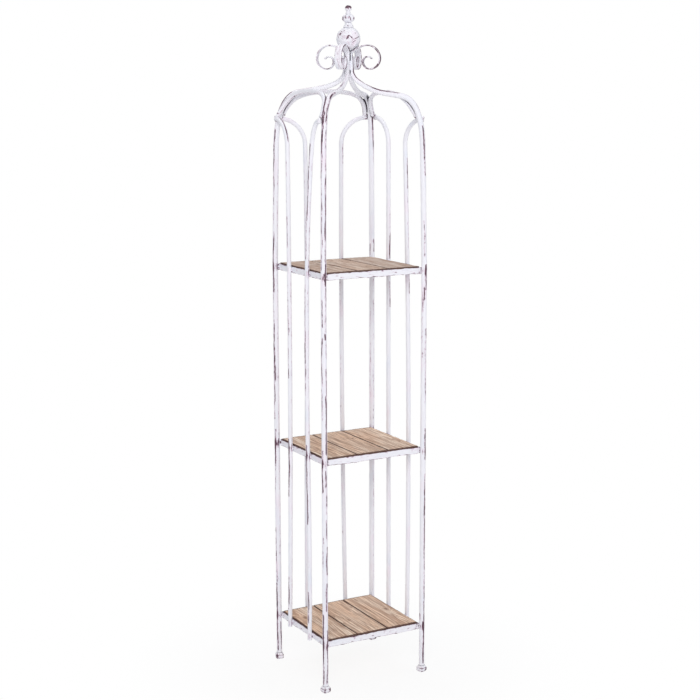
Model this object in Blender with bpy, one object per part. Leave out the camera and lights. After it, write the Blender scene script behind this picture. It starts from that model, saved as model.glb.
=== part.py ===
"""A tall tower display shelf: four bent corner posts, three slatted shelves, arched sides and a ball finial."""

import math
from collections import namedtuple

import bmesh
import bpy
import numpy as np

# Driving sizes, in metres and radians. The origin is on the floor under the centre of the tower,
# +Z is up, the open front faces -Y, and left and right are as seen from the front.
POST_SPAN_X = 0.300  # between the centre lines of the left and the right posts
POST_SPAN_Y = 0.277  # between the centre lines of the front and the back posts
POST_DIAMETER = 0.015
POST_WALL = 0.0012
ROD_DIAMETER = 0.012
ROD_WALL = 0.001
ARCH_DIAMETER = 0.012
ARCH_WALL = 0.001
SEAT_GAP = 0.0003  # left between two pieces that touch

# Feet: a forged square block under each post, with a spigot up its bore
FOOT_WIDTH = 0.022
FOOT_TREAD = 0.016  # width of the flat that stands on the floor
FOOT_TREAD_RISE = 0.003
FOOT_SHOULDER = 0.012  # height where the block starts to slope in
FOOT_HEIGHT = 0.018
SPIGOT_LENGTH = 0.020
SPIGOT_FIT = 0.0006
SPIGOT_LEAD = 0.0015  # chamfer at its tip
FOOT_TURNS = {"front_left": 0.14, "front_right": 0.30, "back_right": 0.10, "back_left": -0.30}

# Crown: each post bends inwards over the shelf, runs up a low roof and sweeps up to the neck
BEND_START = 1.4237  # height where the straight post ends
POST_DRAW = 0.0055  # how far the post leans in by there, from the top shelf up
SHOULDER_RISE = 0.1450
SHOULDER_REACH = 0.0664  # from the foot of the post; the roof takes up the rest of the way to the sweep
SHOULDER_LIFT = 0.57  # how far up its rise the shoulder stays upright, 0 to 1
SHOULDER_FLATNESS = 0.72  # how far along the way to the roof the shoulder stays level, 0 to 1
ROOF_SLOPE = math.radians(9.1)
SWEEP_REACH = 0.0875
SWEEP_RISE = 0.0563
SWEEP_FLATNESS = 0.30
SWEEP_LIFT = 0.60
NECK_DIAMETER = 0.012
NECK_HEIGHT = 0.0387

# Scroll: above the neck each post is hammered flat and rolled outwards and down
STRIP_WIDTH = 0.020
STRIP_THICKNESS = 0.0045
STRIP_TIP_THICKNESS = 0.0035
STRIP_SQUARENESS = 5  # exponent of its rounded section, where 2 is an ellipse
LIP_RADIUS = 0.014
LIP_ANGLE = math.radians(28)  # of the rising strip, above level
LIP_RUN = 0.0166
CREST_RADIUS = 0.040
SCROLL_RADII = (0.034, 0.0265, 0.0185, 0.013)
SCROLL_TURNS = tuple(math.radians(turn) for turn in (90, 90, 90, 140))

# Side rods: two on each closed side, each bent over at the top into the nearest post
ROD_DROP = 0.004  # below the bottom frame
ROD_BEND_RISE = 0.0113  # where a rod starts to bend, above the end of the straight post
ROD_TIP_RISE = 0.0823  # where its tip meets the post, above the same
# Hand-set places along the side at the foot, one and two thirds of the way up and where the bend starts.
# A rod bends towards the post on its own side of zero.
ROD_PLACES = {
    "left_front": (-0.0495, -0.0490, -0.0450, -0.0790),
    "left_back": (0.068, 0.057, 0.0537, 0.0575),
    "back_left": (-0.060, -0.0585, -0.0545, -0.0565),
    "back_right": (0.063, 0.056, 0.053, 0.054),
    "right_back": (-0.043, -0.0458, -0.0481, -0.050),
    "right_front": (0.058, 0.0621, 0.0551, 0.037),
}

# Arches: one over each closed side, leaning inwards beside the bent legs
ARCH_INSETS = {"left": 0.002, "back": 0.003, "right": 0.012}  # from the plane of that side's rods inwards
ARCH_LEAN = math.radians(26.3)
ARCH_RISE = 0.0737  # measured up the lean
ARCH_LIFT = 0.61  # how far up its rise an end stays upright, 0 to 1
ARCH_SPLAY = 0.10  # how far in an end slopes meanwhile, as a share of its reach
ARCH_FLATNESS = 0.785  # how far along its reach the top stays level, 0 to 1

# Shelves: angle frames mitred at the corners, with three slats in each
SHELF_HEIGHTS = {"bottom": 0.1406, "middle": 0.6377, "top": 1.1239}  # to the top of the wood
ANGLE_SIZE = 0.016
ANGLE_WALL = 0.002
SLAT_THICKNESS = 0.017
SLAT_SIDE_GAP = 0.002  # between the wood and the upright leaf of the frame
SLAT_SEAM = 0.0015
SLAT_EDGE = 0.001

# Screws: one up through the frame into each end of a slat
SCREW_DIAMETER = 0.003
SCREW_LENGTH = 0.012
SCREW_HEAD_DIAMETER = 0.006
SCREW_HEAD_HEIGHT = 0.002
SCREW_POINT = 0.002

# Finial: a hollow ball, a cupped collar, a bead and a cap whose long stud holds them to the neck
BALL_DIAMETER = 0.062
BALL_WALL = 0.002
COLLAR_DIAMETER = 0.027
COLLAR_TOP_DIAMETER = 0.018
COLLAR_HEIGHT = 0.0095  # above the top of the ball
BEAD_DIAMETER = 0.033
BEAD_HEIGHT = 0.022
BEAD_SEAT_DIAMETER = 0.014
CAP_NECK_DIAMETER = 0.0125
CAP_FLARE_DIAMETER = 0.0145
CAP_NECK_HEIGHT = 0.010
BUTTON_DIAMETER = 0.018
BUTTON_HEIGHT = 0.0117
STUD_DIAMETER = 0.005
STUD_DEPTH = 0.012  # below the top of the neck

# Facets
POST_SIDES = 10
ROD_SIDES = 8
SCREW_SIDES = 8
FINIAL_SIDES = 18
CURVE_STEPS = 7
ROD_STEPS = 6
ARCH_STEPS = 8  # in half an arch
SCROLL_STEPS = 4  # in a quarter turn
BALL_STEPS = 10
BEAD_STEPS = 7
BUTTON_STEPS = 6
SEARCH_STEPS = 24
FINE_STEPS = 40
SKIN_POINTS = 12

# Values that follow from the driving sizes
CORNERS = {"front_left": (-1, -1), "front_right": (1, -1), "back_right": (1, 1), "back_left": (-1, 1)}
SIDES = {"left": math.radians(90), "back": 0.0, "right": math.radians(-90)}  # turn of each closed side
SLATS = ("left", "middle", "right")
DIAGONAL = math.hypot(POST_SPAN_X, POST_SPAN_Y) / 2
CORNER_ANGLE = math.atan2(POST_SPAN_Y, POST_SPAN_X)
CROWDING = math.tan(min(CORNER_ANGLE, math.pi / 2 - CORNER_ANGLE))  # room between neighbouring posts
NECK_RADIUS = (NECK_DIAMETER + SEAT_GAP) / (2 * math.sin(math.atan(CROWDING)))
DRAW_START = SHELF_HEIGHTS["top"]
DRAW_ANGLE = math.atan(POST_DRAW / (BEND_START - DRAW_START))
ROOF_RUN = (DIAGONAL - SHOULDER_REACH - SWEEP_REACH - NECK_RADIUS) / math.cos(ROOF_SLOPE)
ROD_BEND_START = BEND_START + ROD_BEND_RISE
ROD_TIP_HEIGHT = BEND_START + ROD_TIP_RISE
FRAME_INSET = (POST_DIAMETER / 2 + SEAT_GAP) / math.sqrt(2)  # so that its corner just clears the post
FRAME_X = POST_SPAN_X / 2 - FRAME_INSET
FRAME_Y = POST_SPAN_Y / 2 - FRAME_INSET
SLAT_INSET = ANGLE_WALL + SLAT_SIDE_GAP
SLAT_WIDTH = (2 * (FRAME_X - SLAT_INSET) - (len(SLATS) - 1) * SLAT_SEAM) / len(SLATS)
SLAT_LENGTH = 2 * (FRAME_Y - SLAT_INSET)
SCREW_Y = FRAME_Y - (ANGLE_SIZE + SLAT_INSET) / 2  # halfway along what rests on the flange
ARCH_SPRING = ROD_TIP_HEIGHT + (ROD_DIAMETER / 2 + SEAT_GAP) / math.cos(ARCH_LEAN)  # just clear of the rods
HOLE_RADIUS = SCREW_DIAMETER / 2 + SEAT_GAP
BORE_RADIUS = STUD_DIAMETER / 2 + SEAT_GAP
ROUND = 2  # exponent of a round section

# A place along a bar that lies in the XZ plane, with its direction and its half width and thickness there
Station = namedtuple("Station", "x z heading half_width half_thickness squareness")


def clear_scene():
    for obj in list(bpy.data.objects):
        bpy.data.objects.remove(obj, do_unlink=True)


def finish_material(name, color, roughness, metallic):
    material = bpy.data.materials.new(name)
    material.use_nodes = True
    shader = material.node_tree.nodes["Principled BSDF"]
    shader.inputs["Base Color"].default_value = (*color, 1)
    shader.inputs["Roughness"].default_value = roughness
    shader.inputs["Metallic"].default_value = metallic
    return material


def mesh_of(name, shape):
    """The shape as a mesh with its faces outwards, round where it is round."""
    bmesh.ops.recalc_face_normals(shape, faces=shape.faces)
    mesh = bpy.data.meshes.new(name)
    shape.to_mesh(mesh)
    shape.free()
    mesh.shade_smooth()
    mesh.set_sharp_from_angle(angle=math.radians(50))
    return mesh


def place(name, mesh, material, parent, location=(0, 0, 0), turn=0.0):
    obj = bpy.data.objects.new(name, mesh)
    if not mesh.materials:
        mesh.materials.append(material)
    obj.location = location
    obj.rotation_euler = (0, 0, turn)
    obj.parent = parent
    bpy.context.scene.collection.objects.link(obj)
    return obj


# Bars: paths, sections and meshes


def bezier(start, start_handle, end_handle, end, steps):
    """Points and headings along a cubic curve, without its first point."""
    found = []
    for step in range(1, steps + 1):
        t = step / steps
        s = 1 - t
        weights = (s**3, 3 * t * s * s, 3 * t * t * s, t**3)
        slopes = (-3 * s * s, 3 * s * s - 6 * s * t, 6 * s * t - 3 * t * t, 3 * t * t)
        controls = (start, start_handle, end_handle, end)
        x, z = (sum(w * p[axis] for w, p in zip(weights, controls)) for axis in (0, 1))
        dx, dz = (sum(w * p[axis] for w, p in zip(slopes, controls)) for axis in (0, 1))
        found.append((x, z, math.atan2(dz, dx)))
    return found


def arc(start, radius, turn, steps):
    """Points and headings along an arc that turns clockwise, without its first point."""
    x, z, heading = start
    centre = (x + radius * math.sin(heading), z - radius * math.cos(heading))
    found = []
    for step in range(1, steps + 1):
        now = heading - turn * step / steps
        found.append((centre[0] - radius * math.sin(now), centre[1] + radius * math.cos(now), now))
    return found


def run(start, length):
    x, z, heading = start
    return (x + length * math.cos(heading), z + length * math.sin(heading), heading)


def blend(first, last, share):
    return first + (last - first) * share


def leg_path(steps):
    """The bent leg of a post from the end of its straight to the foot of the neck, as (r, z, heading)."""
    inwards = math.pi - ROOF_SLOPE
    start = (DIAGONAL - POST_DRAW, BEND_START)
    roof = (DIAGONAL - SHOULDER_REACH, BEND_START + SHOULDER_RISE)
    lift = SHOULDER_LIFT * SHOULDER_RISE
    flat = SHOULDER_FLATNESS * (start[0] - roof[0])
    shoulder = bezier(
        start,
        (start[0] - lift * math.tan(DRAW_ANGLE), start[1] + lift),
        (roof[0] + flat, roof[1] - flat * math.tan(ROOF_SLOPE)),
        roof,
        steps,
    )
    ridge = run((*roof, inwards), ROOF_RUN)
    neck = (NECK_RADIUS, ridge[1] + SWEEP_RISE)
    flat = SWEEP_FLATNESS * SWEEP_REACH
    sweep = bezier(
        ridge[:2],
        (ridge[0] - flat, ridge[1] + flat * math.tan(ROOF_SLOPE)),
        (neck[0], neck[1] - SWEEP_LIFT * SWEEP_RISE),
        neck,
        steps,
    )
    return [(*start, math.pi / 2 + DRAW_ANGLE)] + shoulder + [ridge] + sweep


def scroll_path(start, steps):
    """The rolled strip from the top of the neck, as the lip, the crest and the coils of the scroll."""
    lip = arc(start, LIP_RADIUS, math.pi / 2 - LIP_ANGLE, steps)
    rise = run(lip[-1], LIP_RUN)
    path = lip + [rise] + arc(rise, CREST_RADIUS, LIP_ANGLE, max(2, steps // 2))
    for radius, turn in zip(SCROLL_RADII, SCROLL_TURNS):
        path += arc(path[-1], radius, turn, math.ceil(steps * turn / math.radians(90)))
    return path


def post_stations():
    """The whole post, and how many of its stations are still hollow."""
    round_post = POST_DIAMETER / 2
    round_neck = NECK_DIAMETER / 2
    leg = leg_path(CURVE_STEPS)
    stations = [
        Station(DIAGONAL, FOOT_HEIGHT + SEAT_GAP, math.pi / 2, round_post, round_post, ROUND),
        Station(DIAGONAL, DRAW_START, (math.pi + DRAW_ANGLE) / 2, round_post, round_post, ROUND),
    ]
    for index, (x, z, heading) in enumerate(leg):
        taper = max(0, index - CURVE_STEPS) / (len(leg) - 1 - CURVE_STEPS)
        half = blend(round_post, round_neck, taper)
        stations.append(Station(x, z, heading, half, half, ROUND))
    hollow = len(stations)
    top = (NECK_RADIUS, leg[-1][1] + NECK_HEIGHT, math.pi / 2)
    for share in (1 / 3, 2 / 3, 1):
        stations.append(
            Station(
                NECK_RADIUS,
                blend(leg[-1][1], top[1], share),
                math.pi / 2,
                round_neck,
                blend(round_neck, STRIP_THICKNESS / 2, share),
                blend(ROUND, STRIP_SQUARENESS, share),
            )
        )
    scroll = scroll_path(top, SCROLL_STEPS)
    for index, (x, z, heading) in enumerate(scroll):
        half = blend(STRIP_THICKNESS, STRIP_TIP_THICKNESS, index / (len(scroll) - 1)) / 2
        room = (x - half * abs(math.sin(heading))) * CROWDING - SEAT_GAP
        stations.append(Station(x, z, heading, min(STRIP_WIDTH / 2, room), half, STRIP_SQUARENESS))
    return stations, hollow


def section(station, sides, thinner=0.0):
    """The rounded outline of a bar at a station, as points in the local frame."""
    points = []
    for side in range(sides):
        angle = 2 * math.pi * (side + 0.5) / sides
        power = 2 / station.squareness
        across = math.copysign(abs(math.cos(angle)) ** power, math.cos(angle))
        through = math.copysign(abs(math.sin(angle)) ** power, math.sin(angle))
        across *= station.half_width - thinner
        through *= station.half_thickness - thinner
        x = station.x - through * math.sin(station.heading)
        z = station.z + through * math.cos(station.heading)
        points.append((x, across, z))
    return points


def bar_mesh(name, stations, sides, wall=0.0, hollow=0):
    """A bar along its stations. The first hollow stations have a bore, which is open at the start.

    A bore as long as the bar is open at both ends.
    """
    shape = bmesh.new()
    outer = [[shape.verts.new(p) for p in section(station, sides)] for station in stations]
    inner = [[shape.verts.new(p) for p in section(s, sides, wall)] for s in stations[:hollow]]
    through = hollow == len(stations)

    def skin(first, second):
        for side in range(sides):
            following = (side + 1) % sides
            shape.faces.new((first[side], first[following], second[following], second[side]))

    for rings in (outer, inner):
        for first, second in zip(rings, rings[1:]):
            skin(first, second)
    if hollow:
        skin(outer[0], inner[0])
    else:
        shape.faces.new(outer[0])
    if through:
        skin(outer[-1], inner[-1])
    else:
        shape.faces.new(outer[-1])
        if hollow:
            shape.faces.new(inner[-1])
    return mesh_of(name, shape)


def turned_mesh(name, profile, sides, closed=False):
    """A turned piece from its profile of (radius, height). A closed profile goes round a bore."""
    shape = bmesh.new()
    rings = []
    for radius, height in profile:
        if radius == 0:
            rings.append([shape.verts.new((0, 0, height))])
            continue
        angles = (2 * math.pi * side / sides for side in range(sides))
        rings.append([shape.verts.new((radius * math.cos(a), radius * math.sin(a), height)) for a in angles])
    pairs = list(zip(rings, rings[1:]))
    if closed:
        pairs.append((rings[-1], rings[0]))
    for first, second in pairs:
        for side in range(sides):
            following = (side + 1) % sides
            corners = [first[side % len(first)], first[following % len(first)]]
            corners += [second[following % len(second)], second[side % len(second)]]
            shape.faces.new(list(dict.fromkeys(corners)))
    return mesh_of(name, shape)


# Where the rods and the arches meet the posts


def side_frame(side):
    """Distance of the rods' plane from the centre, and how a post's leg lies along and out from that side."""
    if side == "back":
        plane = FRAME_Y
        along, out = math.cos(CORNER_ANGLE), math.sin(CORNER_ANGLE)
    else:
        plane = FRAME_X
        along, out = math.sin(CORNER_ANGLE), math.cos(CORNER_ANGLE)
    return plane + SEAT_GAP + ROD_DIAMETER / 2, along, out


def leg_points(side):
    """Close points down the centre line of the post at the far end of a side, in that side's frame."""
    _, along, out = side_frame(side)
    return np.array([(r * along, r * out, z) for r, z, _ in leg_path(FINE_STEPS)])


def clearance(path, radius, plane, lean, leg):
    """The least distance from the skin of a round bar on a side to the centre line of the leg.

    The bar is drawn upright, and leans inwards about the height where the arches spring.
    """
    skin = []
    for x, z, heading in path:
        for side in range(SKIN_POINTS):
            angle = 2 * math.pi * side / SKIN_POINTS
            through = radius * math.sin(angle)
            across = radius * math.cos(angle)
            height = z - ARCH_SPRING + through * math.cos(heading)
            out = plane + across * math.cos(lean) - height * math.sin(lean)
            up = ARCH_SPRING + across * math.sin(lean) + height * math.cos(lean)
            skin.append((x - through * math.sin(heading), out, up))
    skin = np.array(skin)[:, None]
    start = leg[:-1][None]
    span = (leg[1:] - leg[:-1])[None]
    share = ((skin - start) * span).sum(2) / (span**2).sum(2)
    nearest = start + np.clip(share, 0, 1)[..., None] * span
    return float(np.sqrt(((skin - nearest) ** 2).sum(2)).min())


def widest(path_at, radius, side, lean=0.0, inset=0.0):
    """How far out along a side a bar can reach before its skin comes to the seat gap from the post.

    It never reaches past the centre line of the post at the height of the rods' tips.
    """
    plane, _, _ = side_frame(side)
    leg = leg_points(side)
    low = 0.0
    high = float(np.interp(ROD_TIP_HEIGHT, leg[:, 2], leg[:, 0]))
    for _ in range(SEARCH_STEPS):
        middle = (low + high) / 2
        if clearance(path_at(middle), radius, plane - inset, lean, leg) >= POST_DIAMETER / 2 + SEAT_GAP:
            low = middle
        else:
            high = middle
    return low


def half_arch(reach, steps):
    """The right half of an arch, drawn upright, from its level end to its top."""
    top = ARCH_SPRING + ARCH_RISE
    curve = bezier(
        (reach, ARCH_SPRING),
        ((1 - ARCH_SPLAY) * reach, ARCH_SPRING + ARCH_LIFT * ARCH_RISE),
        (ARCH_FLATNESS * reach, top),
        (0, top),
        steps,
    )
    return [(reach, ARCH_SPRING, math.pi / 2)] + curve


def rod_place(places, share):
    """Where a rod lies along its side at a share of its upright height, on a smooth bow through four places."""
    foot, third, two_thirds, bend = places
    s = 3 * share
    from_foot = foot * (1 - s) * (2 - s) * (3 - s) / 6
    from_third = third * s * (2 - s) * (3 - s) / 2
    from_two_thirds = two_thirds * s * (s - 1) * (3 - s) / 2
    return from_foot + from_third + from_two_thirds + bend * s * (s - 1) * (s - 2) / 6


def rod_path(places, tip, foot_height, steps):
    """A rod bent towards +X: its bowed upright and the quarter turn over to its tip."""
    height = ROD_BEND_START - foot_height
    upright = []
    for step in range(steps + 1):
        share = step / steps
        ahead = rod_place(places, share + 0.001) - rod_place(places, share - 0.001)
        heading = math.atan2(0.002 * height, ahead)
        upright.append((rod_place(places, share), foot_height + share * height, heading))
    x, z, heading = upright[-1]
    rise = ROD_TIP_HEIGHT - z
    curve = 0.5523  # handle length that makes a cubic curve a quarter ellipse
    up = run(upright[-1], curve * rise)
    level = (tip - curve * (tip - x), ROD_TIP_HEIGHT)
    return upright, bezier((x, z), up[:2], level, (tip, ROD_TIP_HEIGHT), CURVE_STEPS)


# Sub-parts


def make_posts(parent, paint):
    stations, hollow = post_stations()
    mesh = bar_mesh("post", stations, POST_SIDES, POST_WALL, hollow)
    for corner, (x, y) in CORNERS.items():
        turn = math.atan2(y * POST_SPAN_Y, x * POST_SPAN_X)
        place(f"post_{corner}", mesh, paint, parent, turn=turn)


def make_feet(parent, paint):
    """A block of eight-cornered rings: four corners and four points halfway along the sides."""
    spigot = POST_DIAMETER / 2 - POST_WALL - SPIGOT_FIT
    square = [
        (0, FOOT_TREAD / 2),
        (FOOT_TREAD_RISE, FOOT_WIDTH / 2),
        (FOOT_SHOULDER, FOOT_WIDTH / 2),
        (FOOT_HEIGHT, POST_DIAMETER / 2),
    ]
    top = FOOT_HEIGHT + SPIGOT_LENGTH
    round_ends = [(FOOT_HEIGHT, spigot), (top - SPIGOT_LEAD, spigot), (top, spigot - SPIGOT_LEAD)]
    shape = bmesh.new()
    rings = []
    for height, half in square:
        outline = [(1, 0), (1, 1), (0, 1), (-1, 1), (-1, 0), (-1, -1), (0, -1), (1, -1)]
        rings.append([shape.verts.new((half * x, half * y, height)) for x, y in outline])
    for height, radius in round_ends:
        angles = (math.radians(45 * step) for step in range(8))
        ring = [shape.verts.new((radius * math.cos(a), radius * math.sin(a), height)) for a in angles]
        rings.append(ring)
    for first, second in zip(rings, rings[1:]):
        for step in range(8):
            following = (step + 1) % 8
            shape.faces.new((first[step], first[following], second[following], second[step]))
    shape.faces.new(rings[0])
    shape.faces.new(rings[-1])
    mesh = mesh_of("foot", shape)
    for corner, (x, y) in CORNERS.items():
        spot = (x * POST_SPAN_X / 2, y * POST_SPAN_Y / 2, 0)
        place(f"foot_{corner}", mesh, paint, parent, spot, FOOT_TURNS[corner])


def side_spot(side, height=0.0, inset=0.0):
    """Where a piece in the frame of a side is placed in the world."""
    plane, _, _ = side_frame(side)
    plane -= inset
    turn = SIDES[side]
    return (-plane * math.sin(turn), plane * math.cos(turn), height), turn


def make_arches(parent, paint):
    radius = ARCH_DIAMETER / 2
    for side, inset in ARCH_INSETS.items():
        reach = widest(lambda r: half_arch(r, FINE_STEPS), radius, side, ARCH_LEAN, inset)
        right = half_arch(reach, ARCH_STEPS)
        path = right + [(-x, z, -heading) for x, z, heading in reversed(right[:-1])]
        stations = [Station(x, z - ARCH_SPRING, heading, radius, radius, ROUND) for x, z, heading in path]
        mesh = bar_mesh(f"arch_{side}", stations, ROD_SIDES, ARCH_WALL, len(stations))
        arch = place(f"arch_{side}", mesh, paint, parent, *side_spot(side, ARCH_SPRING, inset))
        arch.rotation_euler.x = ARCH_LEAN


def make_rods(parent, paint, foot_height):
    radius = ROD_DIAMETER / 2
    for name, places in ROD_PLACES.items():
        side = name.split("_")[0]
        hand = math.copysign(1, places[2])
        outward = [hand * along for along in places]
        tip = widest(lambda t: rod_path(outward, t, foot_height, 2)[1], radius, side)
        upright, bend = rod_path(outward, tip, foot_height, ROD_STEPS)
        path = upright + bend
        if hand < 0:
            path = [(-x, z, math.pi - heading) for x, z, heading in path]
        stations = [Station(x, z, heading, radius, radius, ROUND) for x, z, heading in path]
        mesh = bar_mesh(f"rod_{name}", stations, ROD_SIDES, ROD_WALL, len(stations))
        place(f"rod_{name}", mesh, paint, parent, *side_spot(side))


def hole_cutter(name, spots, bottom, top, parent):
    """A hidden set of drills for the screw holes of one shelf."""
    shape = bmesh.new()
    for x, y in spots:
        rings = []
        for height in (bottom, top):
            angles = (2 * math.pi * side / SCREW_SIDES for side in range(SCREW_SIDES))
            corners = ((x + HOLE_RADIUS * math.cos(a), y + HOLE_RADIUS * math.sin(a), height) for a in angles)
            rings.append([shape.verts.new(corner) for corner in corners])
        for side in range(SCREW_SIDES):
            following = (side + 1) % SCREW_SIDES
            shape.faces.new((rings[0][side], rings[0][following], rings[1][following], rings[1][side]))
        for ring in rings:
            shape.faces.new(ring)
    cutter = place(name, mesh_of(name, shape), None, parent)
    cutter.hide_render = True
    cutter.display_type = "WIRE"
    return cutter


def cut(obj, cutter):
    modifier = obj.modifiers.new("screw holes", "BOOLEAN")
    modifier.operation = "DIFFERENCE"
    modifier.solver = "EXACT"
    modifier.object = cutter


def rail_mesh(name, half_length):
    """A length of angle with mitred ends, its outer face on the plane y = 0 and its flange towards -Y."""
    outline = [
        (0, 0),
        (0, ANGLE_SIZE),
        (ANGLE_WALL, ANGLE_SIZE),
        (ANGLE_WALL, ANGLE_WALL),
        (ANGLE_SIZE, ANGLE_WALL),
        (ANGLE_SIZE, 0),
    ]
    mitre = SEAT_GAP / math.sqrt(2)
    shape = bmesh.new()
    ends = []
    for hand in (-1, 1):
        ends.append([shape.verts.new((hand * (half_length - d - mitre), -d, z)) for d, z in outline])
    for side in range(len(outline)):
        following = (side + 1) % len(outline)
        shape.faces.new((ends[0][side], ends[0][following], ends[1][following], ends[1][side]))
    for end in ends:
        shape.faces.new(end)
    return mesh_of(name, shape)


def slat_mesh():
    shape = bmesh.new()
    bmesh.ops.create_cube(shape, size=1)
    bmesh.ops.scale(shape, vec=(SLAT_WIDTH, SLAT_LENGTH, SLAT_THICKNESS), verts=shape.verts)
    return mesh_of("slat", shape)


def screw_mesh():
    head = SCREW_HEAD_DIAMETER / 2
    shank = SCREW_DIAMETER / 2
    profile = [(0, -SCREW_HEAD_HEIGHT)]
    for share in (1 / 3, 2 / 3):
        angle = share * math.pi / 2
        profile.append((head * math.sin(angle), -SCREW_HEAD_HEIGHT * math.cos(angle)))
    profile += [(head, 0), (shank, 0), (shank, SCREW_LENGTH - SCREW_POINT), (0, SCREW_LENGTH)]
    return turned_mesh("screw", profile, SCREW_SIDES)


def make_shelf(shelf, parent, paint, wood, steel, shared):
    """One shelf: four rails, three slats and a screw at each end of each slat."""
    slat_bottom = SHELF_HEIGHTS[shelf] - SLAT_THICKNESS
    frame_bottom = slat_bottom - SEAT_GAP - ANGLE_WALL
    head_seat = frame_bottom - SEAT_GAP
    pitch = SLAT_WIDTH + SLAT_SEAM
    columns = {slat: (index - 1) * pitch for index, slat in enumerate(SLATS)}
    rows = {"front": -SCREW_Y, "back": SCREW_Y}
    spots = [(x, y) for x in columns.values() for y in rows.values()]
    drill_top = head_seat + SCREW_LENGTH + SEAT_GAP
    cutter = hole_cutter(f"cutter_{shelf}", spots, frame_bottom - ANGLE_WALL, drill_top, parent)
    rails = (
        ("back", (0, FRAME_Y, frame_bottom), 0),
        ("left", (-FRAME_X, 0, frame_bottom), math.radians(90)),
        ("front", (0, -FRAME_Y, frame_bottom), math.radians(180)),
        ("right", (FRAME_X, 0, frame_bottom), math.radians(-90)),
    )
    for side, spot, turn in rails:
        mesh = shared["long rail"] if side in rows else shared["short rail"]
        rail = place(f"rail_{shelf}_{side}", mesh, paint, parent, spot, turn)
        if side in rows:
            cut(rail, cutter)
    for slat, x in columns.items():
        spot = (x, 0, slat_bottom + SLAT_THICKNESS / 2)
        board = place(f"slat_{shelf}_{slat}", shared["slat"], wood, parent, spot)
        eased = board.modifiers.new("eased edges", "BEVEL")
        eased.width = SLAT_EDGE
        eased.segments = 1
        cut(board, cutter)
        for row, y in rows.items():
            place(f"screw_{shelf}_{slat}_{row}", shared["screw"], steel, parent, (x, y, head_seat))


def ball_centre():
    """The height at which the ball comes down on the lips of the four strips."""
    top = (NECK_RADIUS, leg_path(CURVE_STEPS)[-1][1] + NECK_HEIGHT, math.pi / 2)
    reach = BALL_DIAMETER / 2 + STRIP_THICKNESS / 2 + SEAT_GAP
    lips = [(r, z) for r, z, _ in scroll_path(top, FINE_STEPS) if r < reach]
    return max(z + math.sqrt(reach * reach - r * r) for r, z in lips)


def sphere_profile(radius, low, high, centre, steps):
    """Points up a sphere between two angles from level."""
    angles = [blend(low, high, step / steps) for step in range(steps + 1)]
    return [(radius * math.cos(a), centre + radius * math.sin(a)) for a in angles]


def make_finial(parent, paint):
    centre = ball_centre()
    radius = BALL_DIAMETER / 2
    ball_top = centre + radius

    edge = math.acos(BORE_RADIUS / radius)
    lining = radius - BALL_WALL
    inner_edge = math.acos(BORE_RADIUS / lining)
    profile = sphere_profile(radius, -edge, edge, centre, BALL_STEPS)
    profile += sphere_profile(lining, inner_edge, -inner_edge, centre, BALL_STEPS)
    ball = turned_mesh("finial_ball", profile, FINIAL_SIDES, closed=True)
    place("finial_ball", ball, paint, parent)

    # The collar is cupped underneath to sit on the ball
    cup = radius + SEAT_GAP
    rim = COLLAR_DIAMETER / 2
    collar_top = ball_top + COLLAR_HEIGHT
    rim_angle = math.acos(rim / cup)
    profile = sphere_profile(cup, math.acos(BORE_RADIUS / cup), rim_angle, centre, 3)
    rim_height = centre + cup * math.sin(rim_angle)
    waist = COLLAR_TOP_DIAMETER / 2
    shoulder = (collar_top - rim_height) / 2
    for share in (1 / 3, 2 / 3, 1):
        angle = share * math.pi / 2
        across = blend(waist, rim, math.cos(angle))
        profile.append((across, rim_height + shoulder * (0.5 + math.sin(angle))))
    profile += [(waist, collar_top), (BORE_RADIUS, collar_top)]
    collar = turned_mesh("finial_collar", profile, FINIAL_SIDES, closed=True)
    place("finial_collar", collar, paint, parent)

    # The bead is an oval, cut flat at its two seats
    bead_bottom = collar_top + SEAT_GAP
    bulge = BEAD_DIAMETER / 2
    seat_angle = math.acos(BEAD_SEAT_DIAMETER / BEAD_DIAMETER)
    oval = BEAD_HEIGHT / 2 / math.sin(seat_angle)
    middle = bead_bottom + BEAD_HEIGHT / 2
    profile = [(BORE_RADIUS, bead_bottom)]
    for step in range(BEAD_STEPS + 1):
        angle = blend(-seat_angle, seat_angle, step / BEAD_STEPS)
        profile.append((bulge * math.cos(angle), middle + oval * math.sin(angle)))
    profile.append((BORE_RADIUS, bead_bottom + BEAD_HEIGHT))
    bead = turned_mesh("finial_bead", profile, FINIAL_SIDES, closed=True)
    place("finial_bead", bead, paint, parent)

    # The cap: a long stud, a waisted neck and a round button
    cap_bottom = bead_bottom + BEAD_HEIGHT + SEAT_GAP
    stud = STUD_DIAMETER / 2
    stud_bottom = leg_path(CURVE_STEPS)[-1][1] + NECK_HEIGHT - STUD_DEPTH
    neck_top = cap_bottom + CAP_NECK_HEIGHT
    button = BUTTON_DIAMETER / 2
    flare = CAP_FLARE_DIAMETER / 2
    slim = CAP_NECK_DIAMETER / 2
    profile = [(0, stud_bottom), (stud, stud_bottom + stud / 2), (stud, cap_bottom), (flare, cap_bottom)]
    profile += [(slim, cap_bottom + CAP_NECK_HEIGHT / 2), (flare, neck_top)]
    for step in range(1, BUTTON_STEPS):
        angle = blend(-math.pi / 4, math.pi / 2, step / BUTTON_STEPS)
        height = neck_top + BUTTON_HEIGHT * (0.5 + math.sin(angle) / 2)
        profile.append((button * math.cos(angle), height))
    profile.append((0, neck_top + BUTTON_HEIGHT))
    cap = turned_mesh("finial_cap", profile, FINIAL_SIDES)
    place("finial_cap", cap, paint, parent)


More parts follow.
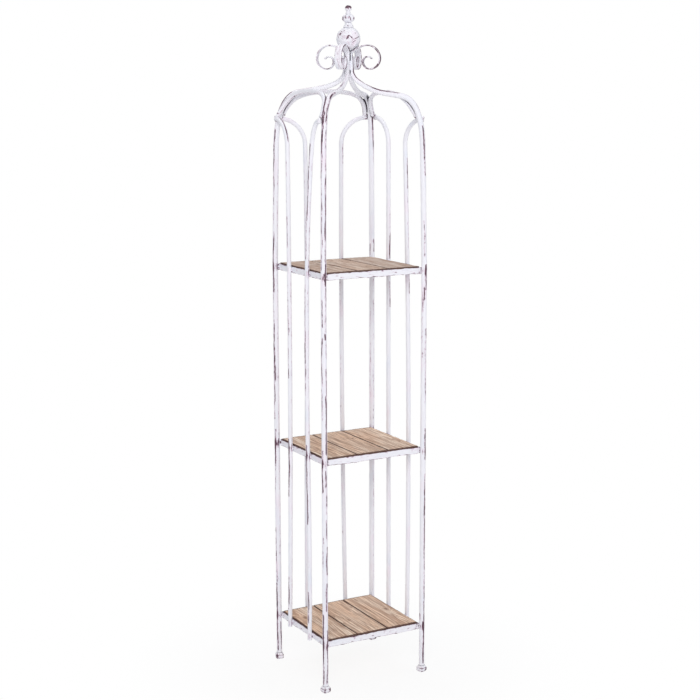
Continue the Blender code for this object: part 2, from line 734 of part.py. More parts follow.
def main():
    clear_scene()
    paint = finish_material("white_paint", (0.78, 0.78, 0.83), 0.45, 0.0)
    wood = finish_material("pale_wood", (0.60, 0.41, 0.30), 0.7, 0.0)
    steel = finish_material("screw_steel", (0.55, 0.55, 0.56), 0.35, 1.0)
    root = bpy.data.objects.new("display_shelf", None)
    bpy.context.scene.collection.objects.link(root)
    shared = {
        "long rail": rail_mesh("long_rail", FRAME_X),
        "short rail": rail_mesh("short_rail", FRAME_Y),
        "slat": slat_mesh(),
        "screw": screw_mesh(),
    }
    make_posts(root, paint)
    make_feet(root, paint)
    make_arches(root, paint)
    frame_height = SLAT_THICKNESS + SEAT_GAP + ANGLE_WALL
    make_rods(root, paint, SHELF_HEIGHTS["bottom"] - frame_height - ROD_DROP)
    for shelf in SHELF_HEIGHTS:
        make_shelf(shelf, root, paint, wood, steel, shared)
    make_finial(root, paint)


main()
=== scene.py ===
import math
import bmesh
import bpy
import numpy as np
from mathutils import Matrix, Vector


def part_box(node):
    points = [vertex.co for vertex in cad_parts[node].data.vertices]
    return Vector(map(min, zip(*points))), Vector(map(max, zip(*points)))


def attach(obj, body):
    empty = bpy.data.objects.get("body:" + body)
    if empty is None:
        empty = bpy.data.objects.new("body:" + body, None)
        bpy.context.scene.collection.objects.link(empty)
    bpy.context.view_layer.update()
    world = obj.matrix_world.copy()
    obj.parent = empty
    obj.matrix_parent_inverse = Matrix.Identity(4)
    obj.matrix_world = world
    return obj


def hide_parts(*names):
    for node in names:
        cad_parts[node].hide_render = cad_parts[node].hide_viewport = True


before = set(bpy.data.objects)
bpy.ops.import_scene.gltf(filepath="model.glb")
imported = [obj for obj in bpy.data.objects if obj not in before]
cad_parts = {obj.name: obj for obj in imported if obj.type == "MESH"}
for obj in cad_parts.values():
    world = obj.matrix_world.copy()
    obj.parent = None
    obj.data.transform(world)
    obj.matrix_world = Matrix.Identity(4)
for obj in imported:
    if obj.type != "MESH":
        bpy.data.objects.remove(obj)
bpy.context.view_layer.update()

# Shape of the bars, in metres and radians, as the construction has it

POST_RADIUS = 0.0075
ROD_RADIUS = 0.006
ARCH_RADIUS = 0.006
NECK_RADIUS = 0.006
STRIP_HALF_WIDTH = 0.010
STRIP_HALF_THICKNESS = 0.00225
TIP_HALF_THICKNESS = 0.0017
SEAT_GAP = 0.0003
TUBE_WALL = 0.001

BEND_START = 1.4237
POST_DRAW = 0.0055
SHOULDER_RISE = 0.1450
SHOULDER_REACH = 0.0664
SHOULDER_LIFT = 0.57
SHOULDER_FLATNESS = 0.72
ROOF_SLOPE = math.radians(9.1)
SWEEP_REACH = 0.0875
SWEEP_RISE = 0.0563
SWEEP_FLATNESS = 0.30
SWEEP_LIFT = 0.60
NECK_HEIGHT = 0.0387
LIP_RADIUS = 0.014
LIP_ANGLE = math.radians(28)
LIP_RUN = 0.0166
CREST_RADIUS = 0.040
SCROLL_RADII = (0.034, 0.0265, 0.0185, 0.013)
SCROLL_TURNS = tuple(math.radians(turn) for turn in (90, 90, 90, 140))

ROD_BEND_START = 1.435
ROD_TIP_HEIGHT = 1.506
ROD_PLACES = {
    "left_front": (-0.0495, -0.0490, -0.0450, -0.0790),
    "left_back": (0.068, 0.057, 0.0537, 0.0575),
    "back_left": (-0.060, -0.0585, -0.0545, -0.0565),
    "back_right": (0.063, 0.056, 0.053, 0.054),
    "right_back": (-0.043, -0.0458, -0.0481, -0.050),
    "right_front": (0.058, 0.0621, 0.0551, 0.037),
}
ARCH_INSETS = {"left": 0.002, "back": 0.003, "right": 0.012}
ARCH_LEAN = math.radians(26.3)
ARCH_RISE = 0.0737
ARCH_LIFT = 0.61
ARCH_SPLAY = 0.10
ARCH_FLATNESS = 0.785

ANGLE_SIZE = 0.016
ANGLE_WALL = 0.002

# Bent by hand: how much higher each leg's roof, how much lower each arch's top, how much further in its
# left end
ROOF_LIFTS = {"front_left": 0.0005, "front_right": -0.0025, "back_right": -0.0025, "back_left": 0.0065}
ARCH_DROPS = {"left": 0.0, "back": 0.003, "right": 0.005}
ARCH_TWISTS = {"left": 0.006, "back": 0.0, "right": 0.0}

# Places that follow from the frame

SHELVES = ("bottom", "middle", "top")
SIDES = {"left": math.radians(90), "back": 0.0, "right": math.radians(-90)}
CORNERS = {"front_left": (-1, -1), "front_right": (1, -1), "back_right": (1, 1), "back_left": (-1, 1)}
UP = np.array([0, 0, 1])


def middle_of(node):
    low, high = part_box(node)
    return (low + high) / 2


def sizes_of(node):
    """Half width, bottom, top and middle height of a round node."""
    low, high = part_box(node)
    return (high.x - low.x) / 2, low.z, high.z, (low.z + high.z) / 2


def out_and_along(turn):
    """The level directions out of and along a side that is turned this far from the back."""
    return np.array([-math.sin(turn), math.cos(turn), 0]), np.array([math.cos(turn), math.sin(turn), 0])


POST_X = middle_of("foot_front_right").x
POST_Y = middle_of("foot_back_right").y
DIAGONAL = math.hypot(POST_X, POST_Y)
CORNER_ANGLE = math.atan2(POST_Y, POST_X)
CROWDING = math.tan(min(CORNER_ANGLE, math.pi / 2 - CORNER_ANGLE))
NECK_PLACE = (2 * NECK_RADIUS + SEAT_GAP) / (2 * math.sin(math.atan(CROWDING)))
DRAW_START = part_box("slat_top_middle")[1].z
DRAW_ANGLE = math.atan(POST_DRAW / (BEND_START - DRAW_START))
ROOF_RUN = (DIAGONAL - SHOULDER_REACH - SWEEP_REACH - NECK_PLACE) / math.cos(ROOF_SLOPE)
FRAME_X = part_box("rail_top_right")[1].x
FRAME_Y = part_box("rail_top_back")[1].y
ARCH_SPRING = ROD_TIP_HEIGHT + (ROD_RADIUS + SEAT_GAP) / math.cos(ARCH_LEAN)

# How fine the shapes are

CURVE_STEPS = 80
ROD_TURN_STEPS = 60
LIP_STEPS = 20
CREST_STEPS = 16
SCROLL_STEPS = 30
OUTLINE_STEPS = 360
RING_STEP = 0.0026
POST_SIDES = 32
ROD_SIDES = 24
FOOT_SIDES = 48
FOOT_RINGS = 70
WELD_SIDES = 14
SCREW_SIDES = 32

# Numbers and noise for the hand-made shapes


def smooth(share):
    """0 up to a share of 0, 1 from a share of 1, and smoothly between."""
    share = np.clip(share, 0, 1)
    return share * share * (3 - 2 * share)


def bump_curve(distance, reach):
    """1 at no distance, falling smoothly to 0 at the reach."""
    return smooth(1 - np.abs(distance) / reach)


def window(values, low, high, feather=0.008):
    """1 between two values, falling smoothly to 0 just outside."""
    return smooth((values - low) / feather + 0.5) * smooth((high - values) / feather + 0.5)


def waves(points, size, seed, count=16, stretch=(1, 1, 1)):
    """Smooth noise with a spread of about 1 at an array of points, as a sum of waves of about that size."""
    dice = np.random.default_rng(seed)
    directions = dice.normal(size=(count, 3))
    directions /= np.linalg.norm(directions, axis=1)[:, None]
    directions *= dice.uniform(0.6, 1.5, (count, 1)) / size
    phases = dice.uniform(0, 2 * math.pi, count)
    turns = (points / np.array(stretch)) @ directions.T
    return np.sin(2 * math.pi * turns + phases).sum(-1) / math.sqrt(count / 2)


def least_distance(points, line):
    """The distance from each point to the nearest of a line's points."""
    flat = points.reshape(-1, 3)
    found = np.full(len(flat), 1e9)
    for start in range(0, len(line), 40):
        part = line[start : start + 40]
        found = np.minimum(found, np.sqrt(((flat[:, None] - part[None]) ** 2).sum(2)).min(1))
    return found.reshape(points.shape[:-1])


def beside(points, line, radius, reach):
    """1 at points on the skin round a line, falling to 0 at the reach from it."""
    return bump_curve(np.maximum(least_distance(points, line) - radius, 0), reach)


def lengths_along(points):
    """The length along a line up to each of its points."""
    return np.concatenate([[0], np.cumsum(np.linalg.norm(np.diff(points, axis=0), axis=1))])


def lifted(flat, heights):
    """Rings in a plane, each at its own height."""
    return np.concatenate([flat, np.broadcast_to(heights[:, None, None], flat.shape[:2] + (1,))], -1)


def hold_ends(values, before=0, after=0):
    """Rows of values with copies of the first row before them and copies of the last row after them."""
    return np.vstack([np.repeat(values[:1], before, axis=0), values, np.repeat(values[-1:], after, axis=0)])


# Paths of the bars, each as rows of (x, z, heading) in its own plane


def bezier(start, start_handle, end_handle, end, steps=CURVE_STEPS):
    t = np.linspace(0, 1, steps + 1)[:, None]
    s = 1 - t
    controls = [np.array(p, float) for p in (start, start_handle, end_handle, end)]
    weights = (s**3, 3 * t * s * s, 3 * t * t * s, t**3)
    slopes = (-3 * s * s, 3 * s * s - 6 * s * t, 6 * s * t - 3 * t * t, 3 * t * t)
    spots = sum(w * p for w, p in zip(weights, controls))
    ahead = sum(w * p for w, p in zip(slopes, controls))
    return np.column_stack([spots, np.arctan2(ahead[:, 1], ahead[:, 0])])


def arc(start, radius, turn, steps):
    x, z, heading = start
    now = heading - turn * np.linspace(0, 1, steps + 1)
    centre = (x + radius * math.sin(heading), z - radius * math.cos(heading))
    return np.column_stack([centre[0] - radius * np.sin(now), centre[1] + radius * np.cos(now), now])


def run(start, length):
    x, z, heading = start
    return np.array([start, (x + length * math.cos(heading), z + length * math.sin(heading), heading)])


def leg_path(roof_lift):
    """A bent leg up to its neck, with its roof raised or lowered a little."""
    start = (DIAGONAL - POST_DRAW, BEND_START)
    roof = (DIAGONAL - SHOULDER_REACH, BEND_START + SHOULDER_RISE)
    lift = SHOULDER_LIFT * SHOULDER_RISE
    flat = SHOULDER_FLATNESS * (start[0] - roof[0])
    lifted_start = (start[0] - lift * math.tan(DRAW_ANGLE), start[1] + lift)
    shoulder = bezier(start, lifted_start, (roof[0] + flat, roof[1] - flat * math.tan(ROOF_SLOPE)), roof)
    ridge = run((*roof, math.pi - ROOF_SLOPE), ROOF_RUN)
    end = ridge[-1]
    neck = (NECK_PLACE, end[1] + SWEEP_RISE)
    flat = SWEEP_FLATNESS * SWEEP_REACH
    flat_end = (end[0] - flat, end[1] + flat * math.tan(ROOF_SLOPE))
    sweep = bezier(end[:2], flat_end, (neck[0], neck[1] - SWEEP_LIFT * SWEEP_RISE), neck)
    path = np.vstack([shoulder, ridge[1:], sweep[1:]])
    risen = smooth((start[0] - path[:, 0]) / (start[0] - roof[0]))
    fallen = smooth((path[:, 0] - neck[0]) / (end[0] - neck[0]))
    path[:, 1] += roof_lift * risen * fallen
    path[1:-1, 2] = np.arctan2(path[2:, 1] - path[:-2, 1], path[2:, 0] - path[:-2, 0])
    return path


def scroll_path(start):
    """The lip, the crest and the scroll that follow a neck."""
    path = arc(start, LIP_RADIUS, math.pi / 2 - LIP_ANGLE, LIP_STEPS)
    path = np.vstack([path, run(path[-1], LIP_RUN)[1:]])
    bends = [(CREST_RADIUS, LIP_ANGLE, CREST_STEPS)]
    bends += [(radius, turn, SCROLL_STEPS) for radius, turn in zip(SCROLL_RADII, SCROLL_TURNS)]
    for bend in bends:
        path = np.vstack([path, arc(path[-1], *bend)[1:]])
    return path


def half_arch(reach, drop):
    """An arch from its right end up to its top."""
    rise = ARCH_RISE - drop
    top = ARCH_SPRING + rise
    splayed = ((1 - ARCH_SPLAY) * reach, ARCH_SPRING + ARCH_LIFT * rise)
    return bezier((reach, ARCH_SPRING), splayed, (ARCH_FLATNESS * reach, top), (0, top))


def rod_place(places, share):
    """Where a rod lies along its side at shares of its height, on a smooth bow through four places."""
    foot, third, two_thirds, bend = places
    s = 3 * share
    from_foot = foot * (1 - s) * (2 - s) * (3 - s) / 6
    from_third = third * s * (2 - s) * (3 - s) / 2
    from_two_thirds = two_thirds * s * (s - 1) * (3 - s) / 2
    return from_foot + from_third + from_two_thirds + bend * s * (s - 1) * (s - 2) / 6


QUARTER_HANDLE = 0.5523  # handle length that makes a cubic curve a quarter ellipse
HEADING_STEP = 0.001


def rod_path(places, tip, foot_height):
    """A rod bent towards +X: its bowed upright and the quarter turn over to its tip."""
    share = np.linspace(0, 1, CURVE_STEPS)
    x = rod_place(places, share)
    height = ROD_BEND_START - foot_height
    ahead = rod_place(places, share + HEADING_STEP) - rod_place(places, share - HEADING_STEP)
    heading = np.arctan2(2 * HEADING_STEP * height, ahead)
    upright = np.column_stack([x, foot_height + share * height, heading])
    up = run(upright[-1], QUARTER_HANDLE * (ROD_TIP_HEIGHT - ROD_BEND_START))[1][:2]
    level = (tip - QUARTER_HANDLE * (tip - x[-1]), ROD_TIP_HEIGHT)
    turn = bezier(upright[-1][:2], up, level, (tip, ROD_TIP_HEIGHT), ROD_TURN_STEPS)
    return np.vstack([upright, turn[1:]])


def even(path, step=RING_STEP):
    """The path at even steps, with the length along it as a fourth column."""
    lengths = lengths_along(path[:, :2])
    wanted = np.linspace(0, lengths[-1], max(3, round(lengths[-1] / step)))
    columns = (path[:, 0], path[:, 1], np.unwrap(path[:, 2]))
    return np.column_stack([np.interp(wanted, lengths, column) for column in columns] + [wanted])


# Meshes from rings


def outline(half_width, half_thickness, squareness, sides):
    """A rounded outline with evenly spaced points, as (across, through)."""
    angle = np.linspace(0, 2 * math.pi, OUTLINE_STEPS + 1)
    power = 2 / squareness
    across = half_width * np.sign(np.cos(angle)) * np.abs(np.cos(angle)) ** power
    through = half_thickness * np.sign(np.sin(angle)) * np.abs(np.sin(angle)) ** power
    lengths = lengths_along(np.column_stack([across, through]))
    wanted = np.arange(sides) * lengths[-1] / sides
    return np.column_stack([np.interp(wanted, lengths, across), np.interp(wanted, lengths, through)])


def outline_normals(points):
    """The directions that point out of closed outlines whose points run anticlockwise."""
    along = np.roll(points, -1, axis=-2) - np.roll(points, 1, axis=-2)
    out = np.stack([along[..., 1], -along[..., 0]], -1)
    return out / np.maximum(np.linalg.norm(out, axis=-1, keepdims=True), 1e-12)


def eased_outline(corners, step):
    """A closed outline with a point at about every step, from corners of (centre, radius, start, turn)."""
    points = []
    for (x, y), radius, start, turn in corners:
        angles = start + turn * np.linspace(0, 1, 5)
        points += [(x + radius * math.cos(a), y + radius * math.sin(a)) for a in angles]
    points = np.array(points + points[:1])
    dense = []
    for first, second in zip(points, points[1:]):
        count = max(1, round(np.linalg.norm(second - first) / step))
        dense += [first + (second - first) * k / count for k in range(count)]
    return np.array(dense)


def ring_mesh(name, parts, sharp_angle):
    """Closed skins through rings of points. Each part is its rings and the fields of its points."""
    faces, first = [], 0
    for rings, _ in parts:
        count, sides = rings.shape[:2]
        lines = first + np.arange(count - 1)[:, None] * sides
        here = (lines + np.arange(sides)).ravel()
        beside_it = (lines + (np.arange(sides) + 1) % sides).ravel()
        last = first + (count - 1) * sides
        faces += np.column_stack([here, beside_it, beside_it + sides, here + sides]).tolist()
        faces += [list(range(first, first + sides))[::-1], list(range(last, last + sides))]
        first = last + sides
    mesh = bpy.data.meshes.new(name)
    mesh.from_pydata(np.vstack([rings.reshape(-1, 3) for rings, _ in parts]).tolist(), [], faces)
    for field, sample in parts[0][1].items():
        kind, slot = ("FLOAT_VECTOR", "vector") if sample.ndim == 3 else ("FLOAT", "value")
        values = np.concatenate([fields[field].ravel() for _, fields in parts])
        mesh.attributes.new(field, kind, "POINT").data.foreach_set(slot, values.astype(np.float32))
    shape = bmesh.new()
    shape.from_mesh(mesh)
    bmesh.ops.recalc_face_normals(shape, faces=shape.faces)
    shape.to_mesh(mesh)
    shape.free()
    mesh.shade_smooth()
    mesh.set_sharp_from_angle(angle=math.radians(sharp_angle))
    return mesh


def show(name, parts, material, nodes=(), sharp_angle=60):
    """Puts a skin in the scene on the frame, in the place of the nodes that it stands for."""
    mesh = ring_mesh(name, parts, sharp_angle)
    obj = bpy.data.objects.new(name, mesh)
    mesh.materials.append(material)
    bpy.context.scene.collection.objects.link(obj)
    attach(obj, "root")
    if nodes:
        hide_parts(*nodes)


def paint_piece(node, rings, fields, paint, sharp_angle=60):
    """A painted skin in the place of one node. Its fields are run, wear, and the darkening for dirt and for
    painted shade in crevices.
    """
    fields = dict(zip(("run", "wear", "grime_and_shade"), fields))
    show(f"iron_{node}", [(rings, fields)], paint, [node], sharp_angle)


# Hammering: how deep and how large the dents are, how wide their ridges, how much of the slow swell shows
SKIN_SHARE = 0.985  # of a bar's radius, so that the dents stay inside the solids
POST_DENTS = (0.00020, 0.011)
ROD_DENTS = (0.00016, 0.010)
RIDGE_WIDTH = 0.28
SWELL_SHARE = 0.35
# How far apart pieces lie in their paint's pattern
BAR_SHIFT, FOOT_SHIFT, RAIL_SHIFT, TURNED_SHIFT = 7.3, 11.0, 1.7, 0.7


class Bar:
    """A bar of metal along a path in one plane, hammered by hand."""

    def __init__(self, path, origin, along, up, seed):
        self.path = path
        self.s = path[:, 3]
        self.seed = seed
        along, up = np.array(along, float), np.array(up, float)
        self.side = np.cross(along, up)
        self.centres = np.array(origin, float) + path[:, :1] * along + path[:, 1:2] * up
        heading = path[:, 2:3]
        self.inner = -np.sin(heading) * along + np.cos(heading) * up
        self.tangent = np.cos(heading) * along + np.sin(heading) * up

    def skin(self, widths, thicknesses, squareness, sides, dents):
        """Gives the bar its rings of points, where each lies round and along it, and its ridges."""
        widths, thicknesses = widths * SKIN_SHARE, thicknesses * SKIN_SHARE
        rings = np.array([outline(*section, sides) for section in zip(widths, thicknesses, squareness)])
        depth, size = dents
        place = lifted(rings, self.s)
        fine = waves(place, size, self.seed, stretch=(1, 1, 3.0))
        slow = waves(place, size * 4, self.seed + 1, stretch=(1, 1, 4.0))
        push = depth * (SWELL_SHARE * slow - np.abs(fine))
        rings = rings + outline_normals(rings) * push[..., None]
        self.ridges = bump_curve(fine, RIDGE_WIDTH)
        self.angle = np.arctan2(rings[..., 1] / thicknesses[:, None], rings[..., 0] / widths[:, None])
        self.run = place + UP * BAR_SHIFT * (self.seed % 17)
        across = self.side * rings[..., :1]
        self.rings = self.centres[:, None] + across + self.inner[:, None] * rings[..., 1:]

    def around(self, angle):
        """How far round the bar each point lies from an angle."""
        return np.angle(np.exp(1j * (self.angle - angle)))


END_STEPS = 4
END_TURN = math.pi / 2 * 0.97


def rounded_end(rings, centre, back, depth):
    """Rings that round off the end of a bar: they shrink towards the centre while they go on along it."""
    turns = END_TURN * np.arange(1, END_STEPS + 1)[:, None, None] / END_STEPS
    return centre + (rings - centre) * np.cos(turns) + back * depth * np.sin(turns)


# Materials


class Finish:
    """A small helper that builds a material out of nodes."""

    def __init__(self, name):
        self.material = bpy.data.materials.new(name)
        self.material.use_nodes = True
        self.tree = self.material.node_tree
        self.shader = self.tree.nodes["Principled BSDF"]

    def link(self, value, socket):
        if isinstance(value, bpy.types.NodeSocket):
            self.tree.links.new(value, socket)
        else:
            socket.default_value = value

    def surface(self, **inputs):
        """Sets the shader's sockets by their names."""
        for key, value in inputs.items():
            self.link(value, self.shader.inputs[key.replace("_", " ")])
        return self.material

    def add(self, kind, settings=None, **inputs):
        node = self.tree.nodes.new(kind)
        for key, value in (settings or {}).items():
            setattr(node, key, value)
        for key, value in inputs.items():
            self.link(value, node.inputs[key.replace("_", " ")])
        return node

    def in_order(self, kind, values, settings):
        """A node whose first sockets get the values."""
        node = self.add(kind, settings)
        for value, socket in zip(values, node.inputs):
            self.link(value, socket)
        return node.outputs[0]

    def field(self, name, output="Fac"):
        return self.add("ShaderNodeAttribute", {"attribute_name": name}).outputs[output]

    def stretch(self, vector, scale, shift=(0, 0, 0)):
        return self.add("ShaderNodeMapping", Vector=vector, Scale=scale, Location=shift).outputs["Vector"]

    def noise(self, vector, scale, detail, roughness, distortion=0.0, stretch=None, shift=(0, 0, 0)):
        if stretch:
            vector = self.stretch(vector, stretch, shift)
        settings = dict(Scale=scale, Detail=detail, Roughness=roughness, Distortion=distortion)
        return self.add("ShaderNodeTexNoise", Vector=vector, **settings).outputs["Fac"]

    def noises(self, vector, table):
        return [self.noise(vector, *row) for row in table]

    def math(self, operation, *values):
        return self.in_order("ShaderNodeMath", values, {"operation": operation})

    def times(self, first, second):
        return self.math("MULTIPLY", first, second)

    def sway(self, noise, amount, base):
        """The base, more where the noise is above its middle and less where it is below."""
        return self.math("MULTIPLY_ADD", self.math("SUBTRACT", noise, 0.5), amount, base)

    def span(self, value, low, high, out_low=0.0, out_high=1.0):
        settings = {"interpolation_type": "SMOOTHSTEP", "clamp": True}
        return self.in_order("ShaderNodeMapRange", (value, low, high, out_low, out_high), settings)

    def mix(self, share, first, second):
        node = self.add("ShaderNodeMix", {"data_type": "RGBA"}, Factor=share)
        for color, socket in ((first, node.inputs[6]), (second, node.inputs[7])):
            self.link(color if isinstance(color, bpy.types.NodeSocket) else (*color, 1), socket)
        return node.outputs[2]

    def layers(self, color, table):
        """Mixes colours over one another. Each row is (share, colour)."""
        for share, over in table:
            color = self.mix(share, color, over)
        return color

    def bump(self, height, strength, distance, **normal):
        settings = dict(Height=height, Strength=strength, Distance=distance)
        return self.add("ShaderNodeBump", **settings, **normal).outputs[0]


PAINT = (0.870, 0.862, 0.912)
PAINT_PINK = (0.880, 0.742, 0.840)
PAINT_BLUE = (0.765, 0.805, 0.895)
PAINT_SHADE = (0.560, 0.540, 0.620)
THIN_PAINT = (0.500, 0.265, 0.385)
BARE_PURPLE = (0.160, 0.068, 0.104)
BARE_IRON = (0.078, 0.050, 0.070)
# Near-black colour for dirt and for painted shade in the crevices and seams where parts touch
DIRT_AND_SHADE = (0.026, 0.026, 0.042)

# Noises: scale, detail, roughness, distortion, stretch and shift. The third direction runs along the bar.
PAINT_NOISES = (
    (330, 5, 0.62, 0.0, (1, 1, 0.05)),
    (520, 6, 0.68, 0.4, (1, 1, 0.22)),
    (900, 4, 0.7),
    (28, 3, 0.5, 0.0, (1, 1, 0.35)),
    (36, 3, 0.5, 0.0, (1, 1, 0.3), (3, 1, 5)),
    (900, 4, 0.6, 0.0, (1, 1, 0.03), (1, 4, 2)),
    (240, 3, 0.5, 0.0, (1, 1, 0.5)),
)


def paint_finish():
    """Brushed white paint on hammered iron, rubbed through to dark metal on ridges, edges and joints."""
    f = Finish("distressed_white_paint")
    place = f.field("run", "Vector")
    long_streaks, short_streaks, chips, tint, cool, brush, hammer = f.noises(place, PAINT_NOISES)
    rubbed = f.sway(chips, 0.5, f.sway(short_streaks, 1.1, f.sway(long_streaks, 1.5, f.field("wear"))))
    bare = f.span(rubbed, 0.62, 0.74)
    thin = f.span(rubbed, 0.33, 0.70)
    # Darkened to near black by the third field: dirt in places, and painted shade in the crevices and seams
    # where parts touch
    dirt_and_shade = f.span(f.sway(chips, 0.8, f.field("grime_and_shade")), 0.25, 0.75)
    metal = f.mix(f.span(short_streaks, 0.42, 0.62), BARE_PURPLE, BARE_IRON)
    color = f.layers(PAINT, (
        (f.span(tint, 0.50, 0.72, 0.0, 0.55), PAINT_PINK),
        (f.span(cool, 0.50, 0.74, 0.0, 0.6), PAINT_BLUE),
        (f.span(brush, 0.35, 0.75, 0.0, 0.22), PAINT_SHADE),
        (f.times(thin, 0.66), THIN_PAINT),
        (bare, metal),
        (f.times(dirt_and_shade, 0.93), DIRT_AND_SHADE),
    ))
    gloss = f.math("MAXIMUM", f.span(brush, 0.3, 0.7, 0.40, 0.56), f.times(bare, 0.62))
    strokes = f.bump(f.math("MULTIPLY_ADD", brush, 0.25, f.times(hammer, 0.6)), 0.55, 0.0005)
    normal = f.bump(f.math("SUBTRACT", 1.0, bare), 0.6, 0.0003, Normal=strokes)
    return f.surface(Base_Color=color, Roughness=gloss, Metallic=f.times(bare, 0.35), Normal=normal)


WOOD_PALE = (0.985, 0.805, 0.648)
WOOD_WARM = (0.950, 0.672, 0.482)
WOOD_GREY = (0.705, 0.622, 0.566)
WOOD_GRAIN = (0.400, 0.225, 0.145)
WOOD_DARK = (0.100, 0.045, 0.032)

# Knots: (number of the board, across, along, half width), counted from the first board of the bottom shelf
KNOTS = (
    (2, 0.0236, 0.0017, 0.0052),
    (1, 0.0387, 0.0620, 0.0026),
    (1, -0.0166, -0.0241, 0.0030),
    (4, 0.0283, 0.0322, 0.0026),
    (5, -0.0355, 0.0451, 0.0024),
    (0, -0.0200, 0.0500, 0.0040),
    (7, 0.0150, -0.0700, 0.0036),
    (6, 0.0200, 0.0300, 0.0050),
)
KNOT_SQUEEZE = 0.5  # lengths along the board count half, so the knots are twice as long as wide
BOARD_SHIFT = (0.31, 1.7)  # how far apart the boards lie in the timber that they are cut from
RING_COUNT = 135.0  # growth rings to a metre of board

# Noises of the timber, as above. The second direction runs along the board.
WOOD_NOISES = (
    (22, 3, 0.5, 0.0, (1, 0.16, 1)),
    (1500, 4, 0.65, 0.0, (1, 0.025, 1)),
    (230, 4, 0.6, 0.0, (1, 0.05, 1), (2, 7, 1)),
    (95, 3, 0.55, 0.0, (1, 0.05, 1), (9, 3, 4)),
    (26, 3, 0.55, 0.0, (1, 0.25, 1), (5, 1, 3)),
    (900, 2, 0.5, 0.0, (1, 0.3, 1), (1, 2, 8)),
)


def knot_fields(f, place):
    """How near each point lies to a knot, and whether it lies in the knot's heart."""
    flat = f.stretch(place, (1, KNOT_SQUEEZE, 0))
    near, heart = 0.0, 0.0
    for board, x, y, size in KNOTS:
        spot = (x + BOARD_SHIFT[0] * board, KNOT_SQUEEZE * (y + BOARD_SHIFT[1] * board), 0)
        away = f.add("ShaderNodeVectorMath", {"operation": "DISTANCE"})
        f.link(flat, away.inputs[0])
        f.link(spot, away.inputs[1])
        away = away.outputs["Value"]
        near = f.math("MAXIMUM", near, f.span(away, 0.0, 3.6 * size, 1.0, 0.0))
        heart = f.math("MAXIMUM", heart, f.span(away, 0.5 * size, 1.05 * size, 1.0, 0.0))
    return near, heart


def wood_finish():
    """Weathered softwood: rings cut along the board, fine fibres, knots and darkened edges."""
    f = Finish("weathered_wood")
    place = f.field("run", "Vector")
    tone = f.field("tone")
    near, heart = knot_fields(f, place)
    wander, fibre, coarse, bands, patch, speck = f.noises(place, WOOD_NOISES)
    across = f.add("ShaderNodeSeparateXYZ", Vector=place).outputs["X"]
    rings = f.math("MULTIPLY_ADD", across, RING_COUNT, f.times(wander, 9.0))
    band = f.math("FRACT", f.math("MULTIPLY_ADD", near, 3.2, rings))
    late = f.times(f.span(band, 0.35, 0.92), f.span(band, 0.93, 1.0, 1.0, 0.0))
    color = f.layers(WOOD_PALE, (
        (f.span(patch, 0.34, 0.66), WOOD_WARM),
        (f.times(tone, 0.8), WOOD_GREY),
        (f.times(late, 0.78), WOOD_GRAIN),
        (f.span(bands, 0.46, 0.62, 0.0, 0.58), WOOD_GRAIN),
        (f.span(coarse, 0.50, 0.63, 0.0, 0.82), WOOD_GRAIN),
        (f.span(fibre, 0.45, 0.85, 0.0, 0.40), WOOD_GREY),
        (f.span(speck, 0.68, 0.80, 0.0, 0.5), WOOD_DARK),
        (f.times(f.times(near, near), 0.62), WOOD_GRAIN),
        (f.times(heart, 0.5), WOOD_DARK),
        # Dark from the wear field: weathered edges, and painted shade on the board's sides in the gaps
        (f.span(f.sway(coarse, 0.9, f.field("wear")), 0.28, 0.72, 0.0, 0.95), WOOD_DARK),
        (f.span(tone, 0.40, 0.65, 0.0, 0.13), WOOD_DARK),
    ))
    relief = f.math("MULTIPLY_ADD", fibre, 0.5, f.times(late, -0.5))
    relief = f.math("MULTIPLY_ADD", coarse, -0.6, relief)
    roughness = f.span(fibre, 0.2, 0.8, 0.62, 0.82)
    return f.surface(Base_Color=color, Roughness=roughness, Normal=f.bump(relief, 0.5, 0.0006))


STEEL_TINTS = ((0.52, 0.50, 0.44), (0.66, 0.66, 0.64))
STEEL_NOISES = ((420, 3, 0.6), (2600, 3, 0.7, 0.0, (1, 1, 0.1)))


def steel_finish():
    """Bright plated steel, brushed in circles and a little dull."""
    f = Finish("plated_steel")
    cloudy, scratch = f.noises(f.field("run", "Vector"), STEEL_NOISES)
    gloss = f.span(cloudy, 0.3, 0.7, 0.26, 0.46)
    normal = f.bump(scratch, 0.25, 0.0001)
    return f.surface(Base_Color=f.mix(cloudy, *STEEL_TINTS), Roughness=gloss, Metallic=1.0, Normal=normal)


# Long streaks of worn paint on the upright bars: (compass angle, lowest, highest, strength). The angle is
# in degrees from above, where 196 and -76 are just inside the left and the right edge from the camera.

